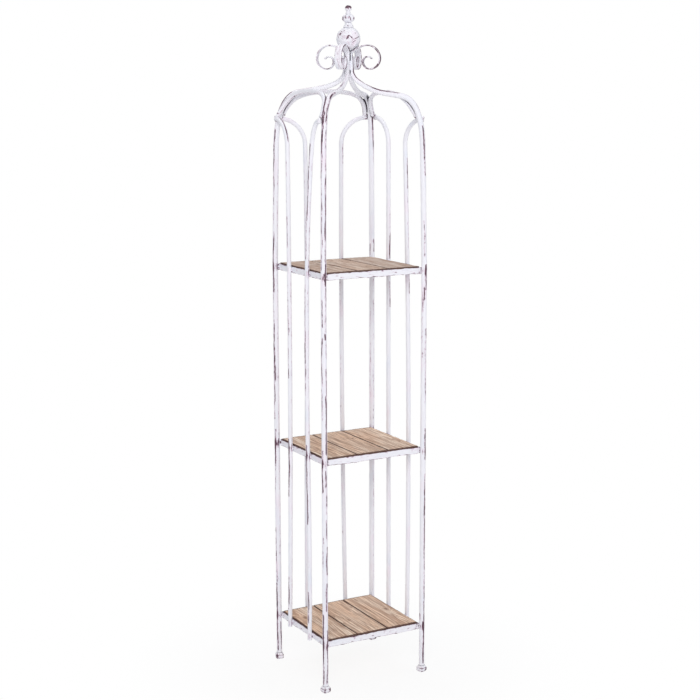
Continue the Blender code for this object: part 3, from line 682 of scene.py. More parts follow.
STREAKS = {
    "post_back_left": (
        (196, 1.43, 1.48, 0.87), (196, 1.285, 1.435, 0.72), (198, 1.2, 1.29, 0.46),
        (197, 1.04, 1.21, 0.83), (192, 0.96, 1.11, 0.53), (196, 0.74, 0.94, 0.66),
        (190, 0.88, 0.96, 0.78), (205, 0.8, 0.89, 0.75), (183, 0.69, 0.75, 0.69),
        (196, 0.565, 0.665, 0.87), (198, 0.48, 0.57, 0.45), (186, 0.3, 0.385, 0.83),
        (203, 0.225, 0.3, 0.61), (196, 0.025, 0.225, 0.87), (-70, 0.025, 0.11, 0.74),
        (-75, 0.3, 1.4, 0.34), (20, 0.3, 1.3, 0.57), (80, 0.1, 0.9, 0.53),
    ),
    "post_front_left": (
        (194, 1.425, 1.56, 0.97), (197, 1.27, 1.43, 0.57), (198, 1.13, 1.27, 0.61),
        (198, 0.985, 1.06, 0.55), (196, 0.83, 0.96, 0.72), (198, 0.74, 0.83, 0.55),
        (195, 0.55, 0.665, 0.87), (198, 0.33, 0.43, 0.51), (196, 0.15, 0.22, 1.01),
        (197, 0.022, 0.16, 0.85), (-78, 1.4, 1.54, 0.61), (-80, 1.27, 1.405, 0.74),
        (-77, 1.15, 1.275, 0.66), (-80, 1.09, 1.15, 1.01), (-76, 1.035, 1.09, 0.66),
        (-80, 0.97, 1.04, 0.51), (-78, 0.952, 0.97, 1.1), (-78, 0.905, 0.95, 0.54),
        (-73, 0.805, 0.88, 0.79), (-73, 0.65, 0.81, 0.97), (-76, 0.49, 0.61, 0.72),
        (-78, 0.415, 0.48, 0.61), (-66, 0.325, 0.405, 0.83), (-78, 0.225, 0.305, 0.85),
        (-74, 0.022, 0.175, 0.81), (-150, 1.485, 1.56, 0.66), (-85, 1.5, 1.565, 0.68),
        (40, 0.2, 1.4, 0.57), (100, 0.5, 1.2, 0.55),
    ),
    "post_front_right": (
        (-88, 1.4, 1.49, 0.92), (-76, 1.36, 1.41, 0.61), (-105, 1.15, 1.245, 0.48),
        (-85, 1.085, 1.13, 0.97), (-80, 1.06, 1.09, 0.87), (-112, 1.035, 1.07, 0.78),
        (-140, 1, 1.045, 0.64), (-75, 0.755, 0.96, 0.61), (-74, 0.6, 0.69, 0.9), (-76, 0.5, 0.565, 0.77),
        (-76, 0.41, 0.52, 0.87), (-75, 0.29, 0.415, 0.74), (-75, 0.2, 0.295, 0.66),
        (-78, 0.022, 0.205, 0.9), (196, 0.15, 0.17, 0.92), (-95, 0.12, 0.146, 0.87),
        (198, 0.88, 1.06, 0.45), (30, 0.1, 1.3, 0.59), (75, 0.3, 1, 0.55),
    ),
    "post_back_right": (
        (-75, 1.47, 1.51, 0.87), (-76, 1.38, 1.475, 0.57), (-78, 1.135, 1.172, 0.83),
        (198, 1.125, 1.16, 0.83), (-75, 0.15, 1.12, 0.36), (198, 0.6, 1.05, 0.34), (60, 0.2, 1.3, 0.57),
        (110, 0.4, 1.35, 0.53),
    ),
    "rod_left_back": (
        (198, 1.17, 1.255, 0.64), (198, 1.29, 1.4, 0.42), (198, 0.96, 1.075, 0.64),
        (198, 0.82, 0.96, 0.52), (-78, 1.02, 1.08, 0.46), (197, 0.49, 0.655, 0.97),
        (197, 0.165, 0.265, 0.83), (-76, 0.1, 1, 0.34), (30, 0.3, 1.3, 0.55), (-88, 1.445, 1.505, 0.84),
    ),
    "rod_left_front": (
        (197, 1.25, 1.45, 0.79), (196, 1.15, 1.26, 0.61), (198, 0.96, 1.1, 0.61),
        (197, 0.875, 0.965, 0.87), (198, 0.79, 0.875, 0.66), (197, 0.44, 0.66, 0.97),
        (198, 0.165, 0.255, 0.85), (-78, 0.5, 1.4, 0.34), (20, 0.2, 1.2, 0.57),
    ),
    "rod_back_left": ((198, 0.3, 1.4, 0.36), (-76, 0.9, 1.3, 0.42), (90, 0.2, 1.3, 0.55)),
    "rod_back_right": ((-76, 1.38, 1.46, 0.55), (198, 0.3, 1.2, 0.34), (90, 0.3, 1.2, 0.57)),
    "rod_right_back": ((-75, 1.125, 1.2, 0.92), (-75, 0.99, 1.065, 0.74), (-75, 1.2, 1.4, 0.42)),
    "rod_right_front": ((-75, 1.32, 1.405, 0.77), (-75, 1.16, 1.32, 0.48), (-70, 1.04, 1.11, 0.64)),
}
STREAK_REACH = 0.66
STREAK_WANDER = 0.10
WANDER_SIZE, FADE_SIZE = 0.07, 0.035

# Streaks on top of the bent legs: (nearest the middle, farthest from it, angle from the top towards the
# camera in degrees, strength)
CREST_STREAKS = {
    "back_left": (
        (0.118, 0.196, 20, 0.58), (0.15, 0.176, 34, 0.86), (0.148, 0.186, 54, 0.66),
        (0.06, 0.14, 16, 0.62), (0.095, 0.12, 36, 0.66),
    ),
    "front_left": ((0.01, 0.19, 0, 0.5), (0.12, 0.2, 60, 0.74)),
    "front_right": ((0.062, 0.138, 30, 1.15), (0.006, 0.07, 20, 0.98), (0.136, 0.19, 12, 0.52)),
    "back_right": ((0.006, 0.08, 16, 0.8), (0.08, 0.19, 10, 0.5)),
}
CAMERA_COMPASS = math.radians(-119)

# How worn the edges and the outer face of each scroll are
SCROLL_EDGES = {"back_left": 0.44, "front_left": 1.00, "front_right": 0.72, "back_right": 0.95}
SCROLL_FACES = {"back_left": 0.18, "front_left": 0.30, "front_right": 0.95, "back_right": 0.30}
SCROLL_EDGE_REACH, SCROLL_FACE_REACH = 0.42, 1.5
SCROLL_RAGS = (0.35, 0.012)  # how ragged the worn edges are, and the size of it
SCROLL_CREST = (0.030, 0.150, 0.020)  # where the outer face is worn: from, to and how soft its ends are

# How far the painted shade and dirt reach beside a joint, and how wide their line is round the bar
CREVICE_WIDTH = 0.62
CREVICE_REACH = 0.0130


def crevice_shade(rings, centres, radius, others, others_radius):
    """1 on the side of a bar that faces another one, where they run close together: there the paint is
    darkened as painted shade.
    """
    apart = least_distance(centres, others)
    facing = (apart[:, None] - least_distance(rings, others)) / radius
    gap = np.maximum(apart - radius - others_radius, 0)
    return bump_curve(1 - facing, CREVICE_WIDTH) * bump_curve(gap, CREVICE_REACH)[:, None]


def streak(bar, angle, strength, number):
    """Wear along a line that wanders a little round a bar and comes and goes along it."""
    spots = np.column_stack([bar.s, bar.s * 0, bar.s * 0 + number])
    wander = STREAK_WANDER * waves(spots, WANDER_SIZE, bar.seed * 5 + number, 8)
    fade = np.clip(0.97 + 0.09 * waves(spots, FADE_SIZE, bar.seed * 7 + number, 8), 0, 1.1)
    return strength * bump_curve(bar.around(angle + wander[:, None]), STREAK_REACH) * fade[:, None]


def upright_streaks(bar, turn, name):
    total = np.zeros_like(bar.angle)
    for number, (compass, low, high, strength) in enumerate(STREAKS[name]):
        local = math.radians(compass) - turn
        angle = math.atan2(-math.cos(local), -math.sin(local))
        wear = streak(bar, angle, strength, number) * window(bar.centres[:, 2], low, high)[:, None]
        total = np.maximum(total, wear)
    return total


def crest_streaks(bar, corner):
    """Wear on top of a leg, between two distances from the tower's middle."""
    total = np.zeros_like(bar.angle)
    towards = 1 if math.cos(bar.turn - math.pi / 2 - CAMERA_COMPASS) > 0 else -1
    on_leg = (bar.centres[:, 2] > ROD_TIP_HEIGHT) & (bar.centres[:, 2] < bar.top[1])
    for number, (near, far, tilt, strength) in enumerate(CREST_STREAKS[corner], start=60):
        angle = -math.pi / 2 + towards * math.radians(tilt)
        inside = window(np.hypot(bar.centres[:, 0], bar.centres[:, 1]), near, far) * on_leg
        total = np.maximum(total, streak(bar, angle, strength, number) * inside[:, None])
    return total


# Posts

POST_SQUARENESS = 2.2
STRIP_SQUARENESS = 4.0
STRIP_SPREAD = 0.02  # how soon after the neck the strip has its full width
LEAST_STRIP = 0.6  # of the neck's radius, where the strips crowd each other
POST_WEAR = (0.05, 0.20)  # everywhere, and on the ridges of the hammering
POST_JOINT_WEAR = (0.42, 0.020)  # at each shelf: how strong and how far
POST_TIP_WEAR = (0.5, 0.018)  # round the tips of the rods
CROWN_DEPTH = 0.03  # how far below the rods' tips the crown begins, where its tip wear, dirt and painted shade are laid
SEAM_BELOW, SEAM_ABOVE, SEAM_FEATHER = 0.014, 0.012, 0.006  # the painted shade and dirt round the neck's two welds
SEAM_REACH, WELD_SEAM_REACH, BALL_SEAM_REACH = 0.0030, 0.0035, 0.0040


def worn(distance, wear):
    strength, reach = wear
    return strength * bump_curve(distance, reach)


def bar_wear(bar, streaks, wear, joint_wear=None):
    """A bar's streaks with its even wear, its ridges and its joints with the shelves."""
    total = streaks + wear[0] + wear[1] * bar.ridges
    for shelf in SHELVES if joint_wear else ():
        total += worn(bar.centres[:, 2] - middle_of(f"rail_{shelf}_front").z, joint_wear)[:, None]
    return total


def post_bars():
    """The four posts as bars, before they get their skins."""
    found = {}
    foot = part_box("post_front_left")[0].z
    for seed, (corner, (x, y)) in enumerate(CORNERS.items(), start=3):
        leg = leg_path(ROOF_LIFTS[corner])
        upright = np.array([[DIAGONAL, foot, math.pi / 2], [DIAGONAL, DRAW_START, math.pi / 2]])
        top = (NECK_PLACE, leg[-1][1] + NECK_HEIGHT, math.pi / 2)
        path = even(np.vstack([upright, leg, scroll_path(top)]))
        turn = math.atan2(y * POST_Y, x * POST_X)
        bar = Bar(path, (0, 0, 0), (math.cos(turn), math.sin(turn), 0), (0, 0, 1), seed)
        bar.turn = turn
        bar.top = top
        to_neck = even(np.vstack([upright, leg]))
        bar.neck_start = to_neck[-1, 3]
        bar.neck_end = bar.neck_start + NECK_HEIGHT
        roof = np.argmin(np.abs(to_neck[:, 0] - (DIAGONAL - SHOULDER_REACH)))
        bar.shoulder_end = to_neck[roof, 3]
        found[corner] = bar
    return found


def post_skin(bar):
    """Tube, tapered leg, neck and flat strip."""
    stops = [0, bar.shoulder_end, bar.neck_start, bar.neck_end, bar.s[-1]]
    on_strip = bar.s > bar.neck_end
    spread = np.clip((bar.s - bar.neck_end) / STRIP_SPREAD, 0, 1)
    widths = np.interp(bar.s, stops[:3], [POST_RADIUS, POST_RADIUS, NECK_RADIUS])
    widths = np.where(on_strip, NECK_RADIUS + (STRIP_HALF_WIDTH - NECK_RADIUS) * spread, widths)
    halves = [POST_RADIUS, POST_RADIUS, NECK_RADIUS, STRIP_HALF_THICKNESS, TIP_HALF_THICKNESS]
    thicknesses = np.interp(bar.s, stops, halves)
    squareness = np.interp(bar.s, stops, [POST_SQUARENESS] * 3 + [STRIP_SQUARENESS] * 2)
    room = (bar.path[:, 0] - thicknesses * np.abs(np.sin(bar.path[:, 2]))) * CROWDING - SEAT_GAP
    room = np.maximum(room, NECK_RADIUS * LEAST_STRIP)
    widths = np.where(on_strip, np.minimum(widths, room), widths)
    bar.skin(widths, thicknesses, squareness, POST_SIDES, POST_DENTS)


def scroll_wear(bar, corner):
    """Dark edges along a scroll, and its outer face rubbed down over the crest."""
    along = bar.s - bar.neck_end
    strip = np.clip(along / STRIP_SPREAD, 0, 1)
    ragged = 1 + SCROLL_RAGS[0] * waves(bar.run, SCROLL_RAGS[1], bar.seed + 90, 8)
    edge = bump_curve(np.abs(np.cos(bar.angle)) - 1, SCROLL_EDGE_REACH) * ragged
    wear = strip[:, None] * SCROLL_EDGES[corner] * edge
    outer = bump_curve(bar.around(math.pi / 2), SCROLL_FACE_REACH)
    return np.maximum(wear, outer * window(along, *SCROLL_CREST)[:, None] * SCROLL_FACES[corner])


def post_shade_and_grime(bar, crown, others, arch_lines):
    """Painted shade with some dirt where a post's crown meets the other posts, the arches and the ball."""
    rings, centres = bar.rings[crown], bar.centres[crown]
    top = bar.top[1]
    low = top - NECK_HEIGHT
    seams = window(centres[:, 2], top - SEAM_BELOW, top + SEAM_ABOVE, SEAM_FEATHER)
    seams = np.maximum(seams, window(centres[:, 2], low - SEAM_BELOW, low, SEAM_FEATHER))
    reach = SEAM_REACH + WELD_SEAM_REACH * seams[:, None]
    ball = np.array([middle_of("finial_ball")])
    ball_radius = sizes_of("finial_ball")[0]
    grime_and_shade = np.zeros(bar.rings.shape[:2])
    grime_and_shade[crown] = np.maximum.reduce([
        beside(rings, others, NECK_RADIUS, reach),
        crevice_shade(rings, centres, POST_RADIUS, arch_lines, ARCH_RADIUS),
        beside(rings, ball, ball_radius, BALL_SEAM_REACH),
    ])
    return grime_and_shade


def make_posts(paint, posts, arches, rods):
    tips = np.array([rod.centres[-1] for rod in rods.values()])
    arch_lines = np.vstack([arch.centres for arch in arches.values()])
    tops = {corner: bar.centres[bar.centres[:, 2] > ROD_TIP_HEIGHT][::2] for corner, bar in posts.items()}
    for corner, bar in posts.items():
        post_skin(bar)
        streaks = np.maximum(upright_streaks(bar, bar.turn, f"post_{corner}"), crest_streaks(bar, corner))
        wear = bar_wear(bar, np.maximum(streaks, scroll_wear(bar, corner)), POST_WEAR, POST_JOINT_WEAR)
        crown = bar.centres[:, 2] > ROD_TIP_HEIGHT - CROWN_DEPTH
        wear[crown] += worn(least_distance(bar.rings[crown], tips), POST_TIP_WEAR)
        others = np.vstack([line for key, line in tops.items() if key != corner])
        fields = (bar.run, wear, post_shade_and_grime(bar, crown, others, arch_lines))
        end = rounded_end(bar.rings[-1], bar.centres[-1], bar.tangent[-1], TIP_HALF_THICKNESS)
        fields = [hold_ends(field, 0, len(end)) for field in fields]
        paint_piece(f"post_{corner}", np.vstack([bar.rings, end]), fields, paint)


# Rods and arches

ROD_SQUARENESS = 2.15
BORE_DEPTHS = (0.0, 0.004, 0.014)
ROD_WEAR = (0.04, 0.18)
ROD_JOINT_WEAR = (0.35, 0.018)
ROD_TIP_WEAR = (0.55, 0.014)
ARCH_WEAR = (0.05, 0.18)
ARCH_STREAKS = ((math.pi / 2, 0.52, 1), (-math.pi / 2, 0.48, 2))
ARCH_LEG_WEAR = (0.35, 0.010)
TIP_SEAM_REACH = 0.0035


def side_axes(side, lean=0.0, height=0.0, inset=0.0):
    """Origin, the direction along and the direction up of a side's plane."""
    turn = SIDES[side]
    plane = (FRAME_Y if side == "back" else FRAME_X) + SEAT_GAP + ROD_RADIUS - inset
    out, along = out_and_along(turn)
    up = -out * math.sin(lean) + UP * math.cos(lean)
    origin = out * plane + UP * height - up * height
    return origin, along, up


def arch_bars():
    found = {}
    for seed, side in enumerate(SIDES, start=21):
        low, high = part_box(f"arch_{side}")
        reach = (high.x - low.x if side == "back" else high.y - low.y) / 2 - ARCH_RADIUS
        right = half_arch(reach, ARCH_DROPS[side])
        left = np.column_stack([-right[:-1, 0], right[:-1, 1], 2 * math.pi - right[:-1, 2]])[::-1]
        path = even(np.vstack([right, left]))
        bar = Bar(path, *side_axes(side, ARCH_LEAN, ARCH_SPRING, ARCH_INSETS[side]), seed)
        twist = ARCH_TWISTS[side] * smooth(0.5 - path[:, :1] / (2 * reach))
        bar.centres -= out_and_along(SIDES[side])[0] * twist
        found[side] = bar
    return found


def rod_bars():
    found = {}
    for seed, (name, places) in enumerate(ROD_PLACES.items(), start=31):
        hand = math.copysign(1, places[2])
        origin, along, up = side_axes(name.split("_")[0])
        low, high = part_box(f"rod_{name}")
        ends = [np.dot(np.array(corner) - origin, along * hand) for corner in (low, high)]
        path = rod_path([hand * place for place in places], max(ends), low.z)
        if hand < 0:
            path = np.column_stack([-path[:, 0], path[:, 1], math.pi - path[:, 2]])
        found[name] = Bar(even(path), origin, along, up, seed)
    return found


def round_skin(bar, radius):
    halves = np.full(len(bar.s), radius)
    bar.skin(halves, halves, np.full(len(bar.s), ROD_SQUARENESS), ROD_SIDES, ROD_DENTS)


def tube(node, bar, wear, grime_and_shade, paint):
    """A round bar whose start turns in over the tube's rim and runs up its bore."""
    bore = (bar.rings[0] - bar.centres[0]) * (1 - TUBE_WALL / ROD_RADIUS) + bar.centres[0]
    start = np.array([bore + bar.tangent[0] * depth for depth in BORE_DEPTHS])[::-1]
    fields = [hold_ends(field, len(start)) for field in (bar.run, wear, grime_and_shade)]
    paint_piece(node, np.vstack([start, bar.rings]), fields, paint)


def make_rods_and_arches(paint, rods, arches, legs):
    for name, bar in rods.items():
        round_skin(bar, ROD_RADIUS)
        streaks = upright_streaks(bar, SIDES[name.split("_")[0]], f"rod_{name}")
        wear = bar_wear(bar, streaks, ROD_WEAR, ROD_JOINT_WEAR)
        grime_and_shade = np.zeros_like(wear)
        bent = bar.centres[:, 2] > ROD_BEND_START
        gap = least_distance(bar.rings[bent], legs) - POST_RADIUS
        wear[bent] += worn(gap, ROD_TIP_WEAR)
        # Painted shade with some dirt in the seam where the rod's tip meets the leg
        grime_and_shade[bent] = bump_curve(np.maximum(gap, 0), TIP_SEAM_REACH)
        tube(f"rod_{name}", bar, wear, grime_and_shade, paint)
    for side, bar in arches.items():
        round_skin(bar, ARCH_RADIUS)
        wear = bar_wear(bar, np.maximum(*(streak(bar, *row) for row in ARCH_STREAKS)), ARCH_WEAR)
        wear += worn(least_distance(bar.rings, legs) - POST_RADIUS, ARCH_LEG_WEAR)
        # Painted shade with some dirt on the side of the arch that faces the leg
        grime_and_shade = crevice_shade(bar.rings, bar.centres, ARCH_RADIUS, legs, POST_RADIUS)
        tube(f"arch_{side}", bar, wear, grime_and_shade, paint)


# Feet: rows of (height, half width, squareness) from the sole up, round the block and up the spigot
FOOT_PROFILE = (
    (0.0000, 0.0071, 6.0),
    (0.0000, 0.0080, 6.0),
    (0.0012, 0.0093, 6.0),
    (0.0030, 0.0106, 6.5),
    (0.0042, 0.0109, 7.0),
    (0.0108, 0.0109, 7.0),
    (0.0124, 0.0104, 6.0),
    (0.0150, 0.0091, 4.0),
    (0.0172, 0.0080, 2.6),
    (0.0182, 0.0074, 2.0),
    (0.0183, 0.0056, 2.0),
    (0.0365, 0.0056, 2.0),
    (0.0380, 0.0042, 2.0),
)
FOOT_DENTS = (0.00022, 0.009)
FOOT_DENTED = (0.0005, 0.018)  # between these heights
FOOT_SHOULDERS = ((0.0112, 0.0020), (0.0035, 0.0018))  # where its worn shoulders lie and how wide they are
FOOT_EDGE = 0.0034
FOOT_SHOWN = 0.0165
FOOT_WEAR = (0.16, 0.10, 0.52)  # everywhere, in its dents, and on its edges and shoulders
FOOT_SEAM = (0.0178, 0.0012)

# Where a foot's paint is worn off in a patch, from the foot's middle
FOOT_SPOTS = {
    "front_left": (0.009, -0.007, 0.008),
    "front_right": (0.009, -0.006, 0.006),
    "back_right": (0.007, -0.008, 0.008),
    "back_left": (-0.008, -0.005, 0.009),
}
FOOT_SPOT_WEAR = (0.85, 0.0090)


def foot_turn(node, middle):
    """How far a foot of the frame is turned, from its widest corner."""
    points = np.array([v.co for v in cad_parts[node].data.vertices])
    points = points - np.array([middle.x, middle.y, 0])
    widest = points[np.argmax(np.hypot(points[:, 0], points[:, 1]))]
    return math.atan2(widest[1], widest[0]) - math.pi / 4


def make_feet(paint):
    """Forged blocks, each square but worn, with a neck that meets its post and a spigot up the bore."""
    profile = np.array(FOOT_PROFILE)
    lengths = lengths_along(profile[:, :2])
    wanted = np.unique(np.concatenate([np.linspace(0, lengths[-1], FOOT_RINGS), lengths]))
    z, half, square = (np.interp(wanted, lengths, column) for column in profile.T)
    depth, size = FOOT_DENTS
    dented = ((z > FOOT_DENTED[0]) & (z < FOOT_DENTED[1]))[:, None]
    shoulder = sum(bump_curve(z - height, width) for height, width in FOOT_SHOULDERS)[:, None]
    seam, seam_reach = FOOT_SEAM
    for seed, corner in enumerate(CORNERS, start=51):
        node = f"foot_{corner}"
        middle = middle_of(node)
        turn = foot_turn(node, middle)
        rings = np.array([outline(h, h, p, FOOT_SIDES) for h, p in zip(half, square)])
        place = lifted(rings, z)
        dents = waves(place, size, seed)
        rings = rings + outline_normals(rings) * (depth * dented * np.clip(dents, -2, 1))[..., None]
        corner_edge = bump_curve(np.abs(rings[..., 0]) - np.abs(rings[..., 1]), FOOT_EDGE)
        even_wear, dent_wear, edge_wear = FOOT_WEAR
        wear = edge_wear * (corner_edge + shoulder) * (z < FOOT_SHOWN)[:, None]
        wear = wear + even_wear + dent_wear * np.clip(dents, -1, 1)
        axes = np.array([[math.cos(turn), math.sin(turn)], [-math.sin(turn), math.cos(turn)]])
        world = lifted(rings @ axes, z)
        wear = wear + worn(np.linalg.norm(world - np.array(FOOT_SPOTS[corner]), axis=-1), FOOT_SPOT_WEAR)
        # Darker in a thin line round the seam at the top of the block
        grime_and_shade = 0.7 * bump_curve(z - seam, seam_reach)[:, None] * np.ones_like(wear)
        world = world + np.array([middle.x, middle.y, 0])
        paint_piece(node, world, (place + UP * FOOT_SHIFT * seed, wear, grime_and_shade), paint, 50)


# Shelf frames

RAIL_DIRECTIONS = {"back": 0, "left": 90, "front": 180, "right": -90}
RAIL_RING_STEP = 0.0024
RAIL_OUTLINE_STEP = 0.0013
ANGLE_EASE = 0.0006
ANGLE_FILLET = 0.0014
ROUGH_SIZE, SLOW_SIZE, SCUFF_SIZE = 0.014, 0.05, 0.009
LOWER_DENTS = (0.00050, 0.00045)  # how deep the rough and the slow dents of the lower edge are
UPPER_DENTS = 0.00028
FACE_DENTS = 0.00026
MOST_DENT = 0.0007
LOWER_REACH, UPPER_START, UPPER_REACH, SKIN_REACH = 0.006, 0.012, 0.004, 0.0025


def angle_outline():
    """The section of the angle as (inward, up), with eased edges and a fillet inside."""
    s, w, quarter = ANGLE_SIZE, ANGLE_WALL, math.pi / 2
    corners = []
    for x, y, hx, hy in ((0, 0, -1, -1), (s, 0, 1, -1), (s, w, 1, 1), (w, s, 1, 1), (0, s, -1, 1)):
        centre = (x - hx * ANGLE_EASE, y - hy * ANGLE_EASE)
        corners.append((centre, ANGLE_EASE, math.atan2(hy, hx) - quarter / 2, quarter))
    inside = (w + ANGLE_FILLET, w + ANGLE_FILLET)
    corners.insert(3, (inside, ANGLE_FILLET, math.radians(270), -quarter))
    return eased_outline(corners, RAIL_OUTLINE_STEP)


def make_rail(node, side, section, seed, paint):
    low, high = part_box(node)
    turn = math.radians(RAIL_DIRECTIONS[side])
    out, along = out_and_along(turn)
    across = side in ("front", "back")
    half = (high.x - low.x if across else high.y - low.y) / 2
    t = np.linspace(-1, 1, round(2 * half / RAIL_RING_STEP))
    x = t[:, None] * (half - section[None, :, 0])
    inward = np.broadcast_to(section[:, 0], x.shape)
    up = np.broadcast_to(section[:, 1], x.shape)
    place = np.stack([inward, up, x], -1)
    rough = waves(place, ROUGH_SIZE, seed, stretch=(1, 1, 1.5))
    slow = waves(place, SLOW_SIZE, seed + 40, stretch=(1, 1, 2.5))
    lower = np.clip(1 - up / LOWER_REACH, 0, 1)
    upper = np.clip((up - UPPER_START) / UPPER_REACH, 0, 1)
    skin = np.clip(1 - inward / SKIN_REACH, 0, 1)
    up = up + lower * skin * (LOWER_DENTS[0] * rough + LOWER_DENTS[1] * slow) + upper * UPPER_DENTS * rough
    inward = inward + skin * np.clip(FACE_DENTS * np.abs(rough), 0, MOST_DENT)
    plane = FRAME_Y if across else FRAME_X
    rings = along * x[..., None] + out * (plane - inward)[..., None] + UP * (low.z + up)[..., None]
    top_edge = bump_curve(section[:, 1] - ANGLE_SIZE, 0.0016)
    low_edge = bump_curve(section[:, 1], 0.0018) * bump_curve(section[:, 0], 0.004)
    ends = bump_curve(half - np.abs(x), 0.016)
    face = np.clip(1 - section[:, 0] / 0.0012, 0, 1)
    scuffs = np.clip(waves(place, SCUFF_SIZE, seed + 80, stretch=(1, 1, 2.0)), 0, 2) * face
    wear = 0.54 * top_edge + 0.62 * low_edge + 0.34 * ends + 0.08 * np.clip(rough, 0, 2)
    wear = wear + 0.20 * scuffs + 0.06
    # Painted shade, near black, on the inner face of the upright flange near its top, in the gap beside the
    # boards
    grime_and_shade = 0.8 * ((section[:, 0] > 0.0015) & (section[:, 1] > 0.011)) * np.ones_like(x)
    paint_piece(node, rings, (place + UP * RAIL_SHIFT * seed, wear, grime_and_shade), paint, 50)


def make_rails(paint):
    section = angle_outline()
    rails = [(shelf, side) for shelf in SHELVES for side in RAIL_DIRECTIONS]
    for seed, (shelf, side) in enumerate(rails, start=72):
        make_rail(f"rail_{shelf}_{side}", side, section, seed, paint)


# Slats

BOARD_EASE = 0.0011
BOARD_RING_STEP = 0.0024
BOARD_OUTLINE_STEP = 0.0022
BOARD_INSET = 0.0002  # how far the worn faces lie inside the solids
CAP_SHARES = (0.3, 0.6, 0.86)
GRAIN_DEPTH, GRAIN_SIZE = 0.00010, 0.006
WARP_DEPTH, WARP_SIZE = 0.00018, 0.05
CHIP_DEPTH, CHIP_SIZE, CHIP_REACH = 0.0005, 0.012, 0.003
SIDE_EDGE = (0.76, 0.0054)
END_EDGE = (1.0, 0.0080)
SHADED_WEAR = 0.95
BOARD_TONES = (0.03, 0.02, 0.02, 0.03, 0.10, 0.03, 0.66, 0.58, 0.85)  # how grey each board has weathered


def board_outline(half_width, half_height):
    """A board's end as a closed outline with eased corners."""
    corners = []
    for quarter, (hx, hz) in enumerate(((1, 1), (-1, 1), (-1, -1), (1, -1))):
        centre = (hx * (half_width - BOARD_EASE), hz * (half_height - BOARD_EASE))
        corners.append((centre, BOARD_EASE, quarter * math.pi / 2, math.pi / 2))
    return eased_outline(corners, BOARD_OUTLINE_STEP)


def shrunk(ring, shares):
    """Copies of a ring, each smaller round its middle by a share."""
    middle = ring.mean(0)
    return np.array([middle + (ring - middle) * share for share in shares])


def capped(rings):
    """Rings with smaller ones before and after them, which close the ends."""
    return np.vstack([shrunk(rings[0], CAP_SHARES), rings, shrunk(rings[-1], CAP_SHARES[::-1])])


def make_slat(node, number, wood):
    low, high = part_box(node)
    half = np.array((high - low) / 2)
    seed = 102 + number
    section = board_outline(half[0], half[2])
    y = np.linspace(-1, 1, round(2 * half[1] / BOARD_RING_STEP)) * (half[1] - BOARD_EASE)
    turns = np.linspace(0, math.pi / 2, 4)[1:]
    tail = half[1] - BOARD_EASE + BOARD_EASE * np.sin(turns)
    inset = BOARD_EASE * (1 - np.cos(turns))
    inset = np.concatenate([inset[::-1], np.zeros(len(y)), inset])
    y = np.concatenate([-tail[::-1], y, tail])
    out = outline_normals(section)
    rings = np.broadcast_to(section, (len(y),) + section.shape) - out * inset[:, None, None]
    place = lifted(rings, y)[..., [0, 2, 1]]
    away = half - np.abs(place)
    grain = waves(place, GRAIN_SIZE, seed, stretch=(1, 14, 1))
    warp = waves(place, WARP_SIZE, seed + 30, stretch=(1, 2, 1))
    push = GRAIN_DEPTH * np.clip(grain, -2.5, 1.2) + WARP_DEPTH * np.clip(warp, -2.5, 0.6) - BOARD_INSET
    corner = bump_curve(away[..., 0], CHIP_REACH) * bump_curve(away[..., 2], CHIP_REACH)
    chip = waves(place, CHIP_SIZE, seed + 60, stretch=(1, 2.2, 1))
    push -= corner * CHIP_DEPTH * np.clip(chip - 0.2, 0, 2)
    world = lifted(rings + out * push[..., None], y)[..., [0, 2, 1]] + np.array((low + high) / 2)
    wear = np.maximum(worn(away[..., 0], SIDE_EDGE), worn(away[..., 1], END_EDGE))
    # Below its top face, the board's sides and ends are painted dark: stained edges, and painted shade in
    # the gaps between the boards and against the frame
    shaded = (bump_curve(half[2] - place[..., 2], 0.0010) < 0.5) & (place[..., 2] > -half[2] + 0.001)
    wear = hold_ends(np.where(shaded, SHADED_WEAR, wear), len(CAP_SHARES), len(CAP_SHARES))
    timber = place + np.array([*BOARD_SHIFT, 0]) * number
    fields = {"run": capped(timber), "wear": wear, "tone": np.full(wear.shape, BOARD_TONES[number])}
    show(f"wood_{node}", [(capped(world), fields)], wood, [node], 50)


def make_slats(wood):
    slats = [f"slat_{shelf}_{slat}" for shelf in SHELVES for slat in ("left", "middle", "right")]
    for number, node in enumerate(slats):
        make_slat(node, number, wood)


# Turned pieces. Marks on the finial, as seen from the camera: lines of (right, up) in shares of the piece's
# half width, with their strength and half thickness.

BALL_MARKS = (
    (((-0.15, -0.05), (0.05, 0.28), (0.29, 0.07)), 1.02, 0.042),
    (((0.02, 0.24), (0.10, 0.22)), 0.95, 0.052),
    (((0.88, 0.15), (0.60, 0.00)), 0.92, 0.034),
    (((0.60, 0.00), (0.37, -0.03), (0.58, -0.17), (0.30, -0.33), (0.35, -0.52)), 0.64, 0.036),
    (((-0.72, 0.28), (-0.64, 0.46)), 0.86, 0.055),
    (((-0.60, 0.58), (-0.50, 0.52)), 0.78, 0.050),
    (((-0.88, 0.24), (-0.84, 0.08)), 0.74, 0.050),
    (((-0.40, 0.62), (-0.33, 0.63)), 0.82, 0.042),
    (((0.57, 0.45), (0.62, 0.42)), 0.66, 0.036),
    (((-0.80, 0.36), (-0.30, 0.50)), 0.38, 0.16),
    (((-0.50, 0.14), (0.05, 0.08)), 0.38, 0.22),
    (((0.10, -0.25), (0.40, -0.40)), 0.34, 0.20),
)
BEAD_MARKS = (
    (((-0.86, 0.20), (-0.88, -0.30)), 1.10, 0.100),
    (((-0.44, 0.40), (-0.52, 0.10), (-0.38, -0.08)), 0.92, 0.072),
    (((0.18, 0.26), (0.34, 0.00), (0.42, -0.32)), 1.10, 0.072),
    (((0.86, 0.10), (0.84, -0.16)), 0.90, 0.090),
    (((-0.30, 0.10), (0.20, 0.00)), 0.38, 0.26),
)
